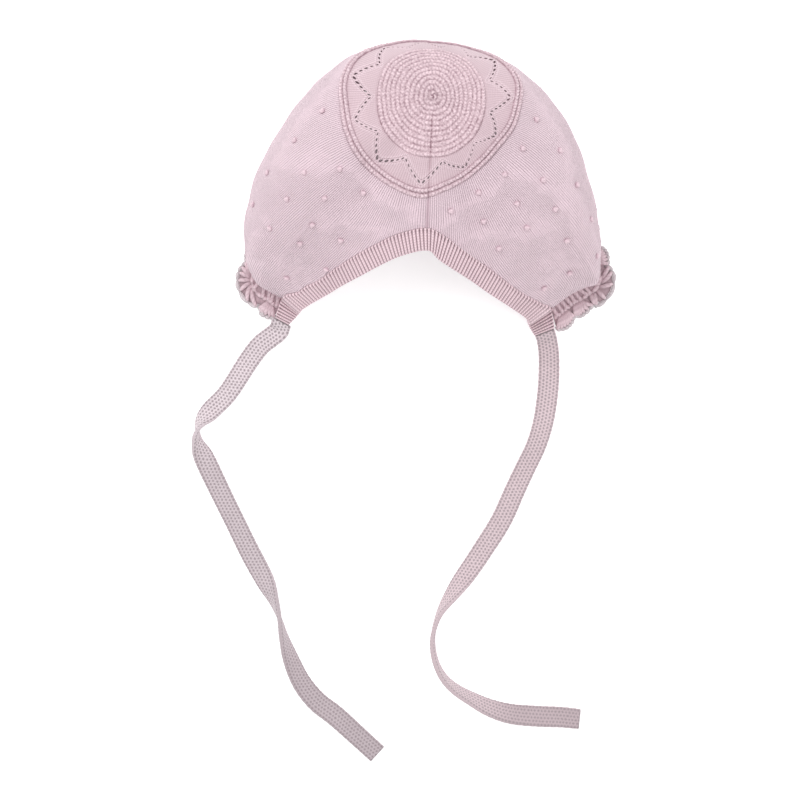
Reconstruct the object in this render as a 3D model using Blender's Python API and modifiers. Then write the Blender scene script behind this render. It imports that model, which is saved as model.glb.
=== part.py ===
"""Knitted baby bonnet that lies on its face opening with its crown medallion up.

Lengths are in metres and +Z is up. The cap is one domed skin, whose height and
outline come from a short table of directions around the crown. Every knitted zone
is a wall laid on that skin, and the two ties lie on the surface beside it.
"""

import math

import bmesh
import bpy
import numpy as np

# Driving sizes of the cap
CAP_REACH = 0.125
CROWN_HEIGHT = 0.084
FACE_EDGE_HEIGHT = 0.0055
FACE_TUCK = 0.0175
SEAM_DIRECTION = 267.6
GAP = 0.0003

# Walls of the knitted zones
DISC_WALL = 0.0018
LACE_WALL = 0.0014
PANEL_WALL = 0.0014
LACE_SINK = 0.0003

# Crown medallion, measured along the skin from its centre
DISC_RADIUS = 0.0262
LACE_WIDTH = 0.0132
RIDGE_RING_WIDTH = 0.0048
GARTER_PITCH = 0.0027
GARTER_RELIEF = 0.0008
RIDGE_RING_RISE = 0.0014
DISC_COLUMNS = 30
RIDGE_RING_COLUMNS = 48

# Eyelets of the lace ring
LACE_POINTS = 11
EYELETS_PER_LEG = 5
LACE_PHASE = 164.0
EYELET_PITCH = 0.0021
EYELET_INNER_MARGIN = 0.0013
EYELET_OUTER_MARGIN = 0.0003
EYELET_RIM_SHARE = 0.18

# Neck band
BAND_WIDTH = 0.0110
BAND_RISE = 0.0009
BAND_DEPTH = 0.0019
RIB_PITCH = 0.0023
RIB_RELIEF = 0.0006
BAND_JOIN_GAP = 0.0004
BAND_END_SINK = 0.0035

# Crocheted face trim
TRIM_WIDTH = 0.0142
SCALLOP_PITCH = 0.0093
SCALLOP_NOTCH = 0.0026
TRIM_FROM = -58.5
TRIM_TO = 231.25
TRIM_LEAN_FROM = 0.38
TRIM_LEAN_TO = 0.15
TRIM_LEAN_STATIONS = 6
TRIM_THICKNESS = 0.0030
TRIM_TIP_THICKNESS = 0.0024
SCALLOP_COLUMNS = 3

# Ties
TIE_WIDTH = 0.0105
TIE_THICKNESS = 0.0025
TIE_FLOOR_GAP = 0.0002
TIE_STATIONS = 41

# How finely the side panel is divided
PANEL_COLUMNS = 42
PANEL_NECK_COLUMNS = 30
PANEL_OUTER_ROWS = 10
PANEL_INNER_ROWS = 5

# The cap's outline, seen from above, one row for each direction from the crown's centre.
# direction is in degrees from +X, reach is a share of CAP_REACH, widest a share of
# CROWN_HEIGHT (the height of the widest point), tuck a share of FACE_TUCK, and roundness
# the power of the curve from the crown to the widest point.
OUTLINE_COLUMNS = ("direction", "reach", "widest", "tuck", "roundness")
OUTLINE = (
    (0, 0.490, 0.39, 1.00, 2.30),
    (15, 0.402, 0.43, 1.00, 2.20),
    (30, 0.337, 0.46, 1.00, 2.10),
    (50, 0.274, 0.50, 1.00, 2.00),
    (70, 0.245, 0.52, 1.00, 2.00),
    (90, 0.239, 0.52, 1.00, 2.00),
    (110, 0.259, 0.51, 1.00, 2.00),
    (130, 0.299, 0.49, 1.00, 2.05),
    (150, 0.377, 0.46, 1.00, 2.15),
    (165, 0.445, 0.43, 1.00, 2.25),
    (180, 0.540, 0.38, 1.00, 2.40),
    (192, 0.643, 0.34, 1.00, 2.40),
    (204, 0.789, 0.30, 1.00, 2.30),
    (214, 0.908, 0.26, 1.00, 2.20),
    (220, 0.970, 0.20, 1.00, 2.05),
    (222.2, 0.983, 0.17, 0.90, 2.00),
    (224.5, 0.997, 0.14, 0.30, 1.90),
    (229, 0.981, 0.11, 0.08, 1.80),
    (233, 0.970, 0.11, 0.05, 1.72),
    (245, 0.968, 0.11, 0.05, 1.75),
    (268, 0.944, 0.11, 0.05, 2.00),
    (290, 0.952, 0.11, 0.05, 1.80),
    (301, 0.940, 0.11, 0.05, 1.72),
    (307, 0.938, 0.12, 0.08, 1.80),
    (311, 0.950, 0.13, 0.10, 1.88),
    (314, 0.971, 0.15, 0.35, 1.95),
    (316, 0.948, 0.18, 0.90, 2.00),
    (318, 0.920, 0.21, 1.00, 2.05),
    (323, 0.848, 0.26, 1.00, 2.15),
    (333, 0.717, 0.30, 1.00, 2.30),
    (344, 0.613, 0.33, 1.00, 2.40),
)

# The medallion's outline, one row for each direction: its disc's edge as a share of
# DISC_RADIUS, and the raised ring's place as a share of its own distance.
MEDALLION_COLUMNS = ("direction", "disc", "ring")
MEDALLION = (
    (0, 0.990, 1.060),
    (14, 1.000, 1.160),
    (33, 1.040, 1.230),
    (52, 1.125, 1.235),
    (72, 1.180, 1.225),
    (95, 1.203, 1.215),
    (115, 1.183, 1.225),
    (134, 1.155, 1.240),
    (150, 1.090, 1.230),
    (166, 1.050, 1.150),
    (183, 1.035, 1.058),
    (202, 1.077, 1.056),
    (220, 1.110, 1.080),
    (246, 1.143, 1.118),
    (266, 1.135, 1.135),
    (276, 1.130, 1.070),
    (291, 1.127, 1.010),
    (307, 1.092, 0.955),
    (322, 1.060, 0.932),
    (339, 1.010, 0.978),
)

# Dents and gathers of the skin. across, down, length and width are shares of CAP_REACH,
# lift a share of PANEL_WALL (below zero for a dent), and heading is in degrees from +X.
FOLD_COLUMNS = ("across", "down", "length", "width", "lift", "heading")
FOLDS = (
    (-0.010, 0.255, 0.25, 0.012, -0.45, 268),
    (0.160, 0.465, 0.13, 0.040, -1.60, 284),
    (0.215, 0.520, 0.12, 0.040, 0.60, 290),
    (0.085, 0.455, 0.07, 0.030, 0.70, 282),
    (0.350, 0.060, 0.10, 0.060, -1.10, 330),
    (-0.110, 0.455, 0.08, 0.035, -0.60, 245),
    (-0.060, 0.450, 0.06, 0.025, 0.50, 255),
    (-0.580, 0.725, 0.09, 0.040, -1.00, 215),
)

# The neck band from its left end to its right end: its join with the panel (top) and its
# free edge, both as shares of CAP_REACH, and the edge's drop below the join as a share of
# BAND_WIDTH.
NECK_COLUMNS = ("top_across", "top_down", "edge_across", "edge_down", "drop")
NECK = (
    (-0.633, 0.842, -0.580, 0.870, 0.15),
    (-0.623, 0.803, -0.552, 0.842, 0.20),
    (-0.598, 0.755, -0.527, 0.816, 0.30),
    (-0.538, 0.742, -0.484, 0.788, 0.55),
    (-0.508, 0.722, -0.457, 0.775, 0.58),
    (-0.450, 0.698, -0.408, 0.750, 0.62),
    (-0.389, 0.658, -0.356, 0.722, 0.58),
    (-0.314, 0.612, -0.278, 0.685, 0.40),
    (-0.226, 0.566, -0.192, 0.642, 0.34),
    (-0.134, 0.526, -0.114, 0.611, 0.20),
    (-0.022, 0.505, -0.020, 0.594, 0.18),
    (0.050, 0.537, 0.024, 0.628, 0.18),
    (0.105, 0.576, 0.070, 0.658, 0.20),
    (0.190, 0.633, 0.150, 0.706, 0.34),
    (0.263, 0.684, 0.222, 0.753, 0.42),
    (0.354, 0.745, 0.309, 0.803, 0.52),
    (0.441, 0.785, 0.375, 0.843, 0.40),
    (0.482, 0.798, 0.392, 0.864, 0.25),
    (0.494, 0.834, 0.403, 0.885, 0.18),
    (0.502, 0.884, 0.421, 0.914, 0.12),
)
CORNER_LEFT_ROW = 2
CORNER_RIGHT_ROW = 17

# The ties' routes on the surface, chosen by hand, as shares of CAP_REACH from the crown's
# centre, with how far the ribbon has turned over, in degrees.
TIE_COLUMNS = ("across", "down", "turn")
TIE_LEFT = (
    (-0.607, 0.856, 0),
    (-0.622, 0.892, 0),
    (-0.656, 0.920, 0),
    (-0.698, 0.954, 0),
    (-0.745, 1.016, 0),
    (-0.826, 1.141, 0),
    (-0.895, 1.214, 12),
    (-0.938, 1.264, 60),
    (-0.952, 1.306, 92),
    (-0.948, 1.350, 118),
    (-0.918, 1.423, 168),
    (-0.861, 1.544, 180),
    (-0.800, 1.668, 180),
    (-0.738, 1.794, 184),
    (-0.678, 1.905, 205),
    (-0.640, 1.990, 245),
    (-0.616, 2.065, 268),
    (-0.600, 2.134, 285),
    (-0.570, 2.229, 315),
    (-0.527, 2.323, 332),
    (-0.466, 2.400, 343),
    (-0.388, 2.462, 352),
    (-0.298, 2.544, 360),
    (-0.218, 2.617, 360),
)
TIE_RIGHT = (
    (0.4620, 0.8990, 0),
    (0.4720, 0.9300, 0),
    (0.4800, 0.9870, 0),
    (0.4800, 1.0810, 0),
    (0.4720, 1.1740, 0),
    (0.4560, 1.2690, 0),
    (0.4270, 1.3620, 0),
    (0.3820, 1.4560, 0),
    (0.3420, 1.5410, 0),
    (0.2850, 1.6660, 0),
    (0.2070, 1.7900, 4),
    (0.1500, 1.8740, 16),
    (0.0890, 1.9570, 50),
    (0.0360, 2.0380, 82),
    (0.0090, 2.1220, 92),
    (0.0080, 2.1910, 95),
    (0.0250, 2.2560, 98),
    (0.0560, 2.3090, 104),
    (0.1000, 2.3500, 112),
    (0.1600, 2.3860, 122),
    (0.2400, 2.4260, 140),
    (0.3290, 2.4520, 156),
    (0.4390, 2.4620, 168),
    (0.5290, 2.4660, 176),
    (0.6060, 2.4740, 180),
)

COLLECTION_NAME = "baby_bonnet"


def clear_scene():
    """Remove every object of the open scene."""
    for obj in list(bpy.data.objects):
        bpy.data.objects.remove(obj, do_unlink=True)


def linear(channel):
    """One colour channel from 0..255, as shown on a screen, to a linear share."""
    share = channel / 255
    if share <= 0.04045:
        return share / 12.92
    return ((share + 0.055) / 1.055) ** 2.4


def knit_material(name, red, green, blue, roughness=0.9):
    """A plain yarn material: a Principled BSDF with a colour and a roughness."""
    material = bpy.data.materials.new(name)
    material.use_nodes = True
    shader = material.node_tree.nodes["Principled BSDF"]
    colour = (linear(red), linear(green), linear(blue), 1)
    shader.inputs["Base Color"].default_value = colour
    shader.inputs["Roughness"].default_value = roughness
    shader.inputs["Metallic"].default_value = 0
    material.diffuse_color = colour
    return material


def smooth_table(knots, values, at):
    """A smooth curve through table values: cubic pieces with slopes from the neighbours."""
    knots = np.asarray(knots, float)
    values = np.asarray(values, float)
    slopes = np.gradient(values, knots)
    index = np.clip(np.searchsorted(knots, at, side="right") - 1, 0, len(knots) - 2)
    span = knots[index + 1] - knots[index]
    t = (at - knots[index]) / span
    rise = slopes[index] * span
    fall = slopes[index + 1] * span
    start = (2 * t**3 - 3 * t**2 + 1) * values[index] + (t**3 - 2 * t**2 + t) * rise
    end = (3 * t**2 - 2 * t**3) * values[index + 1] + (t**3 - t**2) * fall
    return start + end


def around_column(rows, columns, column, direction):
    """One column of a table of directions at any direction, read around the whole circle."""
    place = columns.index(column)
    knots = [row[0] + turn for turn in (-360, 0, 360) for row in rows]
    values = [row[place] for row in rows] * 3
    return smooth_table(knots, values, np.asarray(direction, float) % 360)


def outline_column(column, direction):
    """One column of OUTLINE at any direction."""
    return around_column(OUTLINE, OUTLINE_COLUMNS, column, direction)


def fold_lift(across, down):
    """How far the folds raise or sink the skin: a soft oval bump for each row of FOLDS."""
    lift = np.zeros(np.broadcast(across, down).shape)
    for row in FOLDS:
        fold = dict(zip(FOLD_COLUMNS, row))
        heading = math.radians(fold["heading"])
        x = across - fold["across"] * CAP_REACH
        y = -down + fold["down"] * CAP_REACH
        along = (x * math.cos(heading) + y * math.sin(heading)) / (fold["length"] * CAP_REACH)
        beside = (y * math.cos(heading) - x * math.sin(heading)) / (fold["width"] * CAP_REACH)
        lift = lift + fold["lift"] * PANEL_WALL * np.exp(-(along**2) - beside**2)
    return lift


def bare_skin(direction, share):
    """A point of the skin without folds.

    share runs from 0 at the crown to 1 at the widest point, along a rounded quarter
    curve, and on to 2 at the face edge, along a parabola that tucks in under the bulge.
    """
    direction = np.asarray(direction, float)
    share = np.asarray(share, float)
    reach = outline_column("reach", direction) * CAP_REACH
    widest = outline_column("widest", direction) * CROWN_HEIGHT
    tuck = outline_column("tuck", direction) * FACE_TUCK
    power = 2 / outline_column("roundness", direction)
    turn = np.clip(share, 0, 1) * math.pi / 2
    below = np.clip(share - 1, 0, 1)
    radius = reach * np.sin(turn) ** power - tuck * below**2
    height = widest + (CROWN_HEIGHT - widest) * np.clip(np.cos(turn), 0, 1) ** power
    height = height - (widest - FACE_EDGE_HEIGHT) * below
    angle = np.radians(direction)
    return np.stack([radius * np.cos(angle), radius * np.sin(angle), height], axis=-1)


def skin(direction, share, lift=0.0):
    """A point of the skin, moved by the folds and by lift along the outward normal."""
    direction = np.asarray(direction, float) + np.zeros_like(np.asarray(share, float))
    share = np.asarray(share, float) + np.zeros_like(direction)
    step = 0.002
    turn = 0.2
    safe = np.clip(share, 0.02, 2 - step)
    down = bare_skin(direction, safe + step) - bare_skin(direction, safe - step)
    around = bare_skin(direction + turn, safe) - bare_skin(direction - turn, safe)
    normal = np.cross(down, around)
    normal /= np.linalg.norm(normal, axis=-1, keepdims=True)
    point = bare_skin(direction, share)
    folds = fold_lift(point[..., 0], -point[..., 1]) * np.clip(2 * (1 - share), 0, 1)
    return point + normal * (folds + lift)[..., None]


def share_at_distance(direction, distance):
    """The skin's share that lies a given distance along it from the crown's centre."""
    shares = np.linspace(0, 2, 241)
    found = []
    for angle, length in np.broadcast(direction, distance):
        line = bare_skin(angle, shares)
        steps = np.linalg.norm(np.diff(line, axis=0), axis=1)
        found.append(np.interp(length, np.concatenate([[0], np.cumsum(steps)]), shares))
    return np.array(found).reshape(np.broadcast(direction, distance).shape)


def share_at_radius(direction, radius):
    """The skin's share, from 0 to 1, at a plan distance from the crown's centre."""
    reach = outline_column("reach", direction) * CAP_REACH
    power = outline_column("roundness", direction) / 2
    return np.arcsin(np.clip(radius / reach, 0, 1) ** power) * 2 / math.pi


def medallion_distance(direction, distance):
    """The distance along the skin of a medallion place, drawn out by MEDALLION."""
    disc = around_column(MEDALLION, MEDALLION_COLUMNS, "disc", direction)
    ring = around_column(MEDALLION, MEDALLION_COLUMNS, "ring", direction)
    past_disc = np.clip((np.asarray(distance) - DISC_RADIUS) / LACE_WIDTH, 0, 1)
    return distance * (disc + (ring - disc) * past_disc)


def medallion_ring(direction, distance, lift):
    """Points on the skin around the medallion, at a distance from its centre."""
    distance = medallion_distance(direction, np.asarray(distance))
    return skin(direction, share_at_distance(direction, distance), lift)


def turns(count):
    """Evenly spread directions around the crown, starting on the back seam."""
    return SEAM_DIRECTION + np.arange(count) * 360 / count


def mesh_object(name, points, faces, material, parent):
    """A mesh object whose faces all point outward, shaded smooth."""
    mesh = bpy.data.meshes.new(name)
    mesh.from_pydata([tuple(point) for point in points], [], faces)
    work = bmesh.new()
    work.from_mesh(mesh)
    bmesh.ops.recalc_face_normals(work, faces=work.faces)
    work.to_mesh(mesh)
    work.free()
    mesh.polygons.foreach_set("use_smooth", [True] * len(mesh.polygons))
    mesh.materials.append(material)
    obj = bpy.data.objects.new(name, mesh)
    bpy.data.collections[COLLECTION_NAME].objects.link(obj)
    obj.parent = parent
    return obj


def loft(name, sections, material, parent, ends="flat"):
    """A closed solid lofted through equal-length loops of points.

    ends is flat for a face over the first and the last loop, ring where the last loop
    joins the first one, and peak where each end closes in one middle point.
    """
    count = len(sections[0])
    points = np.concatenate(sections)
    last = len(sections) if ends == "ring" else len(sections) - 1
    faces = []
    for row in range(last):
        for k in range(count):
            a = row * count + k
            b = row * count + (k + 1) % count
            c = (b + count) % len(points)
            d = (a + count) % len(points)
            faces.append((a, b, c, d))
    if ends == "flat":
        faces.append(tuple(range(count)))
        faces.append(tuple(range(len(points) - count, len(points))))
    if ends == "peak":
        first = len(points)
        points = np.vstack([points, sections[0].mean(axis=0), sections[-1].mean(axis=0)])
        for k in range(count):
            faces.append((k, (k + 1) % count, first))
            start = first - count
            faces.append((start + k, start + (k + 1) % count, first + 1))
    return mesh_object(name, points, faces, material, parent)


def crown_disc(parent):
    """The garter-stitch disc: raised and sunk rings by turns, on a plain wall."""
    directions = turns(DISC_COLUMNS)
    rim = DISC_RADIUS
    ridges = int(rim / GARTER_PITCH)
    sections = []
    for step in range(1, 2 * ridges + 1):
        lift = GARTER_RELIEF / 2 if step % 2 else -GARTER_RELIEF / 2
        sections.append(medallion_ring(directions, rim * step / (2 * ridges), lift))
    for share in (1.0, 0.7, 0.4, 0.12):
        sections.append(medallion_ring(directions, rim * share, -DISC_WALL))
    material = knit_material("disc_yarn", 221, 195, 203)
    return loft("crown_disc", sections, material, parent, "peak")


def lace_ring(parent):
    """The lace ring: a wall pierced by eyelets along a zigzag of points."""
    columns = LACE_POINTS * EYELETS_PER_LEG * 2
    inner = DISC_RADIUS + GAP
    outer = DISC_RADIUS + LACE_WIDTH - GAP
    low = inner + EYELET_INNER_MARGIN + EYELET_PITCH / 2
    high = outer - EYELET_OUTER_MARGIN - EYELET_PITCH / 2
    place = np.arange(columns) / (EYELETS_PER_LEG * 2) * 2 * math.pi
    zigzag = 0.5 + np.arcsin(np.cos(place) * 0.995) / math.pi
    middle = low + (high - low) * zigzag
    directions = LACE_PHASE + np.arange(columns) * 360 / columns
    rows = (
        np.full(columns, inner),
        middle - EYELET_PITCH / 2,
        middle + EYELET_PITCH / 2,
        np.full(columns, outer),
    )
    points = [medallion_ring(directions, row, -LACE_SINK) for row in rows]
    faces = []
    for row in range(len(rows) - 1):
        for k in range(columns):
            following = (k + 1) % columns
            corners = (
                row * columns + k,
                row * columns + following,
                (row + 1) * columns + following,
                (row + 1) * columns + k,
            )
            if row == 1:
                faces += eyelet_frame(points, corners, columns)
            else:
                faces.append(corners)
    material = knit_material("lace_yarn", 224, 200, 208)
    obj = mesh_object("lace_ring", np.concatenate(points), faces, material, parent)
    wall = obj.modifiers.new("wall", "SOLIDIFY")
    wall.thickness = LACE_WALL
    wall.offset = -1
    return obj


def eyelet_frame(points, corners, columns):
    """Four faces that frame a square eyelet; its inner corners join the list of points."""
    total = sum(len(row) for row in points)
    flat = np.concatenate([row for row in points])
    square = flat[list(corners)]
    middle = square.mean(axis=0)
    points.append(middle + (square - middle) * (1 - 2 * EYELET_RIM_SHARE))
    frame = []
    for side in range(4):
        following = (side + 1) % 4
        frame.append((corners[side], corners[following], total + following, total + side))
    return frame


def ridge_ring(parent):
    """The raised ring around the lace: two purl ridges with a groove between them."""
    directions = turns(RIDGE_RING_COLUMNS)
    inner = DISC_RADIUS + LACE_WIDTH
    width = RIDGE_RING_WIDTH - GAP
    profile = (
        (0.00, -PANEL_WALL),
        (0.00, RIDGE_RING_RISE * 0.2),
        (0.24, RIDGE_RING_RISE),
        (0.50, RIDGE_RING_RISE * 0.35),
        (0.76, RIDGE_RING_RISE),
        (1.00, RIDGE_RING_RISE * 0.1),
        (1.00, -PANEL_WALL),
    )
    sections = [medallion_ring(directions, inner + width * x, lift) for x, lift in profile]
    material = knit_material("ridge_yarn", 226, 204, 212)
    return loft("ridge_ring", sections, material, parent, "ring")


def neck_rows():
    """The neck table's columns in metres, with y counted upward in the plan."""
    rows = np.array(NECK)
    top = np.stack([rows[:, 0], -rows[:, 1]], axis=1) * CAP_REACH
    edge = np.stack([rows[:, 2], -rows[:, 3]], axis=1) * CAP_REACH
    return top, edge, rows[:, 4] * BAND_WIDTH


def polar(point):
    """Direction in degrees, from 0 to 360, and radius of plan points."""
    direction = np.degrees(np.arctan2(point[..., 1], point[..., 0])) % 360
    return direction, np.hypot(point[..., 0], point[..., 1])


def neck_line(place):
    """The join and the free edge of the band at places counted in rows of the table."""
    top, edge, drop = neck_rows()
    knots = np.arange(len(top))
    top_xy = np.stack([smooth_table(knots, top[:, k], place) for k in (0, 1)], axis=-1)
    edge_xy = np.stack([smooth_table(knots, edge[:, k], place) for k in (0, 1)], axis=-1)
    direction, radius = polar(top_xy)
    height = skin(direction, share_at_radius(direction, radius))[..., 2]
    past_left = np.clip((CORNER_LEFT_ROW - place) / CORNER_LEFT_ROW, 0, 1)
    past_right = (place - CORNER_RIGHT_ROW) / (len(NECK) - 1 - CORNER_RIGHT_ROW)
    past_end = past_left + np.clip(past_right, 0, 1)
    height = height - BAND_END_SINK * past_end
    join = np.concatenate([top_xy, height[..., None]], axis=-1)
    low = height - smooth_table(knots, drop, place)
    edge_point = np.concatenate([edge_xy, low[..., None]], axis=-1)
    return join, edge_point


def even_places(line, first, last, count):
    """Places along a line function that are evenly spaced by length."""
    fine = np.linspace(first, last, 400)
    points = line(fine)
    steps = np.linalg.norm(np.diff(points, axis=0), axis=1)
    length = np.concatenate([[0], np.cumsum(steps)])
    return np.interp(np.linspace(0, length[-1], count), length, fine), length[-1]


def side_panel(parent):
    """The side panel: the skin from the medallion to the face edge and the neck join."""
    last = CORNER_RIGHT_ROW
    places, _ = even_places(
        lambda place: neck_line(place)[0], CORNER_LEFT_ROW, last, PANEL_NECK_COLUMNS
    )
    join, _ = neck_line(places)
    neck_direction, neck_radius = polar(join)
    neck_end = share_at_radius(neck_direction, neck_radius)
    step = 0.6
    start = neck_direction[-1] + step - 360
    even_turn = np.linspace(start, neck_direction[0] - step, PANEL_COLUMNS)
    even_length, _ = even_places(face_edge, start, neck_direction[0] - step, PANEL_COLUMNS)
    face_direction = (even_turn + even_length) / 2
    directions = np.concatenate([face_direction, neck_direction])
    ends = np.concatenate([np.full(PANEL_COLUMNS, 2.0), neck_end])
    ring = medallion_distance(directions, DISC_RADIUS + LACE_WIDTH + RIDGE_RING_WIDTH)
    begins = share_at_distance(directions, ring + GAP)
    sections = []
    for t in np.linspace(0, 1, PANEL_OUTER_ROWS):
        sections.append(skin(directions, begins + (ends - begins) * t, 0.0))
    for t in np.linspace(1, 0, PANEL_INNER_ROWS):
        sections.append(skin(directions, begins + (ends - begins) * t, -PANEL_WALL))
    material = knit_material("panel_yarn", 224, 202, 210)
    return loft("side_panel", sections, material, parent, "ring")


def unit(vectors):
    """Vectors scaled to length one."""
    return vectors / np.linalg.norm(vectors, axis=-1, keepdims=True)


def band_frame():
    """The band's stations: join, free edge, and the directions along, across and outward."""
    last = len(NECK) - 1
    _, length = even_places(lambda place: neck_line(place)[0], 0, last, 2)
    stations = 2 * int(length / RIB_PITCH) + 1
    places, _ = even_places(lambda place: neck_line(place)[0], 0, last, stations)
    join, edge = neck_line(places)
    along = unit(np.gradient(join + edge, axis=0))
    across = unit(edge - join)
    outward = unit(np.cross(across, along))
    outward *= np.sign(outward[:, 2:3])
    return join, edge, along, across, outward


def neck_band(parent):
    """The ribbed band: a doubled hem along the neck, with a rib at every second station."""
    join, edge, _, across, outward = band_frame()
    rib = np.where(np.arange(len(join)) % 2, 0.5, -0.5)[:, None] * RIB_RELIEF
    top = join + across * BAND_JOIN_GAP
    outer_top = top + outward * (BAND_RISE + rib)
    outer_edge = edge + outward * (BAND_RISE + rib)
    inner_edge = edge - outward * BAND_DEPTH
    inner_top = top - outward * BAND_DEPTH
    sections = list(np.stack([outer_top, outer_edge, inner_edge, inner_top], axis=1))
    material = knit_material("band_yarn", 204, 180, 188)
    return loft("neck_band", sections, material, parent)


def face_edge(direction):
    """The face edge of the panel, in the plan, at directions in degrees."""
    return skin(direction, 2.0)


def face_trim(parent):
    """The crocheted trim: a row of scallops that lies flat on the surface.

    Near its two ends it leans over towards the band's ends.
    """
    _, length = even_places(face_edge, TRIM_FROM, TRIM_TO, 2)
    scallops = round(length / SCALLOP_PITCH)
    stations = scallops * SCALLOP_COLUMNS + 1
    directions, _ = even_places(face_edge, TRIM_FROM, TRIM_TO, stations)
    root = face_edge(directions)
    along = unit(np.gradient(root[:, :2], axis=0))
    place = np.arange(stations)
    near_from = np.clip(1 - place / TRIM_LEAN_STATIONS, 0, 1)
    near_to = np.clip(1 - (stations - 1 - place) / TRIM_LEAN_STATIONS, 0, 1)
    lean = TRIM_LEAN_TO * near_to - TRIM_LEAN_FROM * near_from
    sideways = np.stack([along[:, 1], -along[:, 0]], axis=1)
    outward = np.concatenate([sideways + along * lean[:, None], np.zeros((stations, 1))], axis=1)
    phase = np.arange(stations) / SCALLOP_COLUMNS * math.pi
    reach = TRIM_WIDTH - SCALLOP_NOTCH * (1 - np.abs(np.sin(phase)))
    root_top = FACE_EDGE_HEIGHT - GAP
    profile = (
        (-0.09, root_top),
        (0.40, TRIM_THICKNESS + 0.0008),
        (1.00, TRIM_TIP_THICKNESS),
        (0.96, 0.0),
        (0.30, 0.0),
        (-0.09, root_top - TRIM_THICKNESS),
    )
    loops = []
    for share, height in profile:
        point = root + outward * (reach * share)[:, None]
        point[:, 2] = height
        loops.append(point)
    sections = list(np.stack(loops, axis=1))
    material = knit_material("trim_yarn", 214, 190, 198)
    return loft("face_trim", sections, material, parent)


def tie(name, table, band_end, parent):
    """A flat knitted tie that lies on the surface and turns over where its table says.

    Its first section lies face to face with the band's end (0 is the left end and -1 the
    right one), a GAP away, and the tie drops from there to the surface.
    """
    rows = np.array(table)
    knots = np.arange(len(rows))

    def route(place):
        x = smooth_table(knots, rows[:, 0], place) * CAP_REACH
        y = -smooth_table(knots, rows[:, 1], place) * CAP_REACH
        return np.stack([x, y, np.zeros_like(x)], axis=-1)

    places, _ = even_places(route, 0, len(rows) - 1, TIE_STATIONS)
    centre = route(places)
    turn = np.radians(smooth_table(knots, rows[:, 2], places))
    forward = unit(np.gradient(centre, axis=0))
    side = np.stack([-forward[:, 1], forward[:, 0], np.zeros(len(places))], axis=1)
    up = np.array([0.0, 0.0, 1.0])
    half_width = TIE_WIDTH / 2
    half_thick = TIE_THICKNESS / 2
    centre[:, 2] = half_width * np.abs(np.sin(turn)) + half_thick * np.abs(np.cos(turn))
    centre[:, 2] += TIE_FLOOR_GAP
    wide = side * np.cos(turn)[:, None] + up * np.sin(turn)[:, None]
    thick = up * np.cos(turn)[:, None] - side * np.sin(turn)[:, None]
    join, edge, along, across, outward = (part[band_end] for part in band_frame())
    away = along if band_end else -along
    middle = (join + edge) / 2 + outward * (BAND_RISE - BAND_DEPTH) / 2
    centre[0] = middle + away * GAP
    wide[0] = across * np.sign(across @ wide[0])
    thick[0] = outward
    outline = ((-1, 0), (-0.8, 1), (0.8, 1), (1, 0), (0.8, -1), (-0.8, -1))
    loops = [centre + wide * half_width * a + thick * half_thick * b for a, b in outline]
    sections = list(np.stack(loops, axis=1))
    material = knit_material(f"{name}_yarn", 207, 188, 194)
    return loft(name, sections, material, parent)


def centre_on_origin(root, pieces):
    """Move the root so that the cap's own box is centred over the origin, on z = 0."""
    corners = [np.array([v.co for v in piece.data.vertices]) for piece in pieces]
    points = np.concatenate(corners)
    middle = (points.min(axis=0) + points.max(axis=0)) / 2
    root.location = (-middle[0], -middle[1], 0)


def main():
    """Build the whole bonnet."""
    clear_scene()
    collection = bpy.data.collections.new(COLLECTION_NAME)
    bpy.context.scene.collection.children.link(collection)
    root = bpy.data.objects.new("bonnet_root", None)
    collection.objects.link(root)
    cap = [
        crown_disc(root),
        lace_ring(root),
        ridge_ring(root),
        side_panel(root),
        neck_band(root),
        face_trim(root),
    ]
    tie("tie_left", TIE_LEFT, 0, root)
    tie("tie_right", TIE_RIGHT, -1, root)
    centre_on_origin(root, cap)


main()
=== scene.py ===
"""Knitted baby bonnet: the yarn, stitches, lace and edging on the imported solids.

Every zone of the cap is worked out again from the same outline as the solids, at the
scale of its stitches. Lengths are in metres, and +Z is up.
"""

import math

import bpy
import numpy as np
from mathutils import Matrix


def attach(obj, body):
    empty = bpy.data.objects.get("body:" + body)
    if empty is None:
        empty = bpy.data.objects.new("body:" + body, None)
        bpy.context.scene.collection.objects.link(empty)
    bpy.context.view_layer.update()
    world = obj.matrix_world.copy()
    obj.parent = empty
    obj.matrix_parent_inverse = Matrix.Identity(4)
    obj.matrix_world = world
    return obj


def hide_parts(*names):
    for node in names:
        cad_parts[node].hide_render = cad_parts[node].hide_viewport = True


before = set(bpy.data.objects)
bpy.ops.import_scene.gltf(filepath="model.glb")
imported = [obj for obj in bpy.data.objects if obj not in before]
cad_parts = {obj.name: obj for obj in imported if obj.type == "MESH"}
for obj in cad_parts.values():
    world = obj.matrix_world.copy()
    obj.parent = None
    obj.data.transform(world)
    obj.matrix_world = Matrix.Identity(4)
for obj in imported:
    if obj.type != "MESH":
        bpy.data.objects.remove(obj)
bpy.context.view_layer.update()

bl_info = {
    "name": "Knitted baby bonnet",
    "version": (1, 0, 0),
    "blender": (4, 5, 0),
    "location": "3D View > Sidebar > Bonnet",
    "description": "Knits the zones of a baby bonnet over its solid model",
    "category": "Object",
}

# Where the crown's centre lies in the model
CROWN_CENTRE = (0.002621, 0.041422, 0.0)

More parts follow.
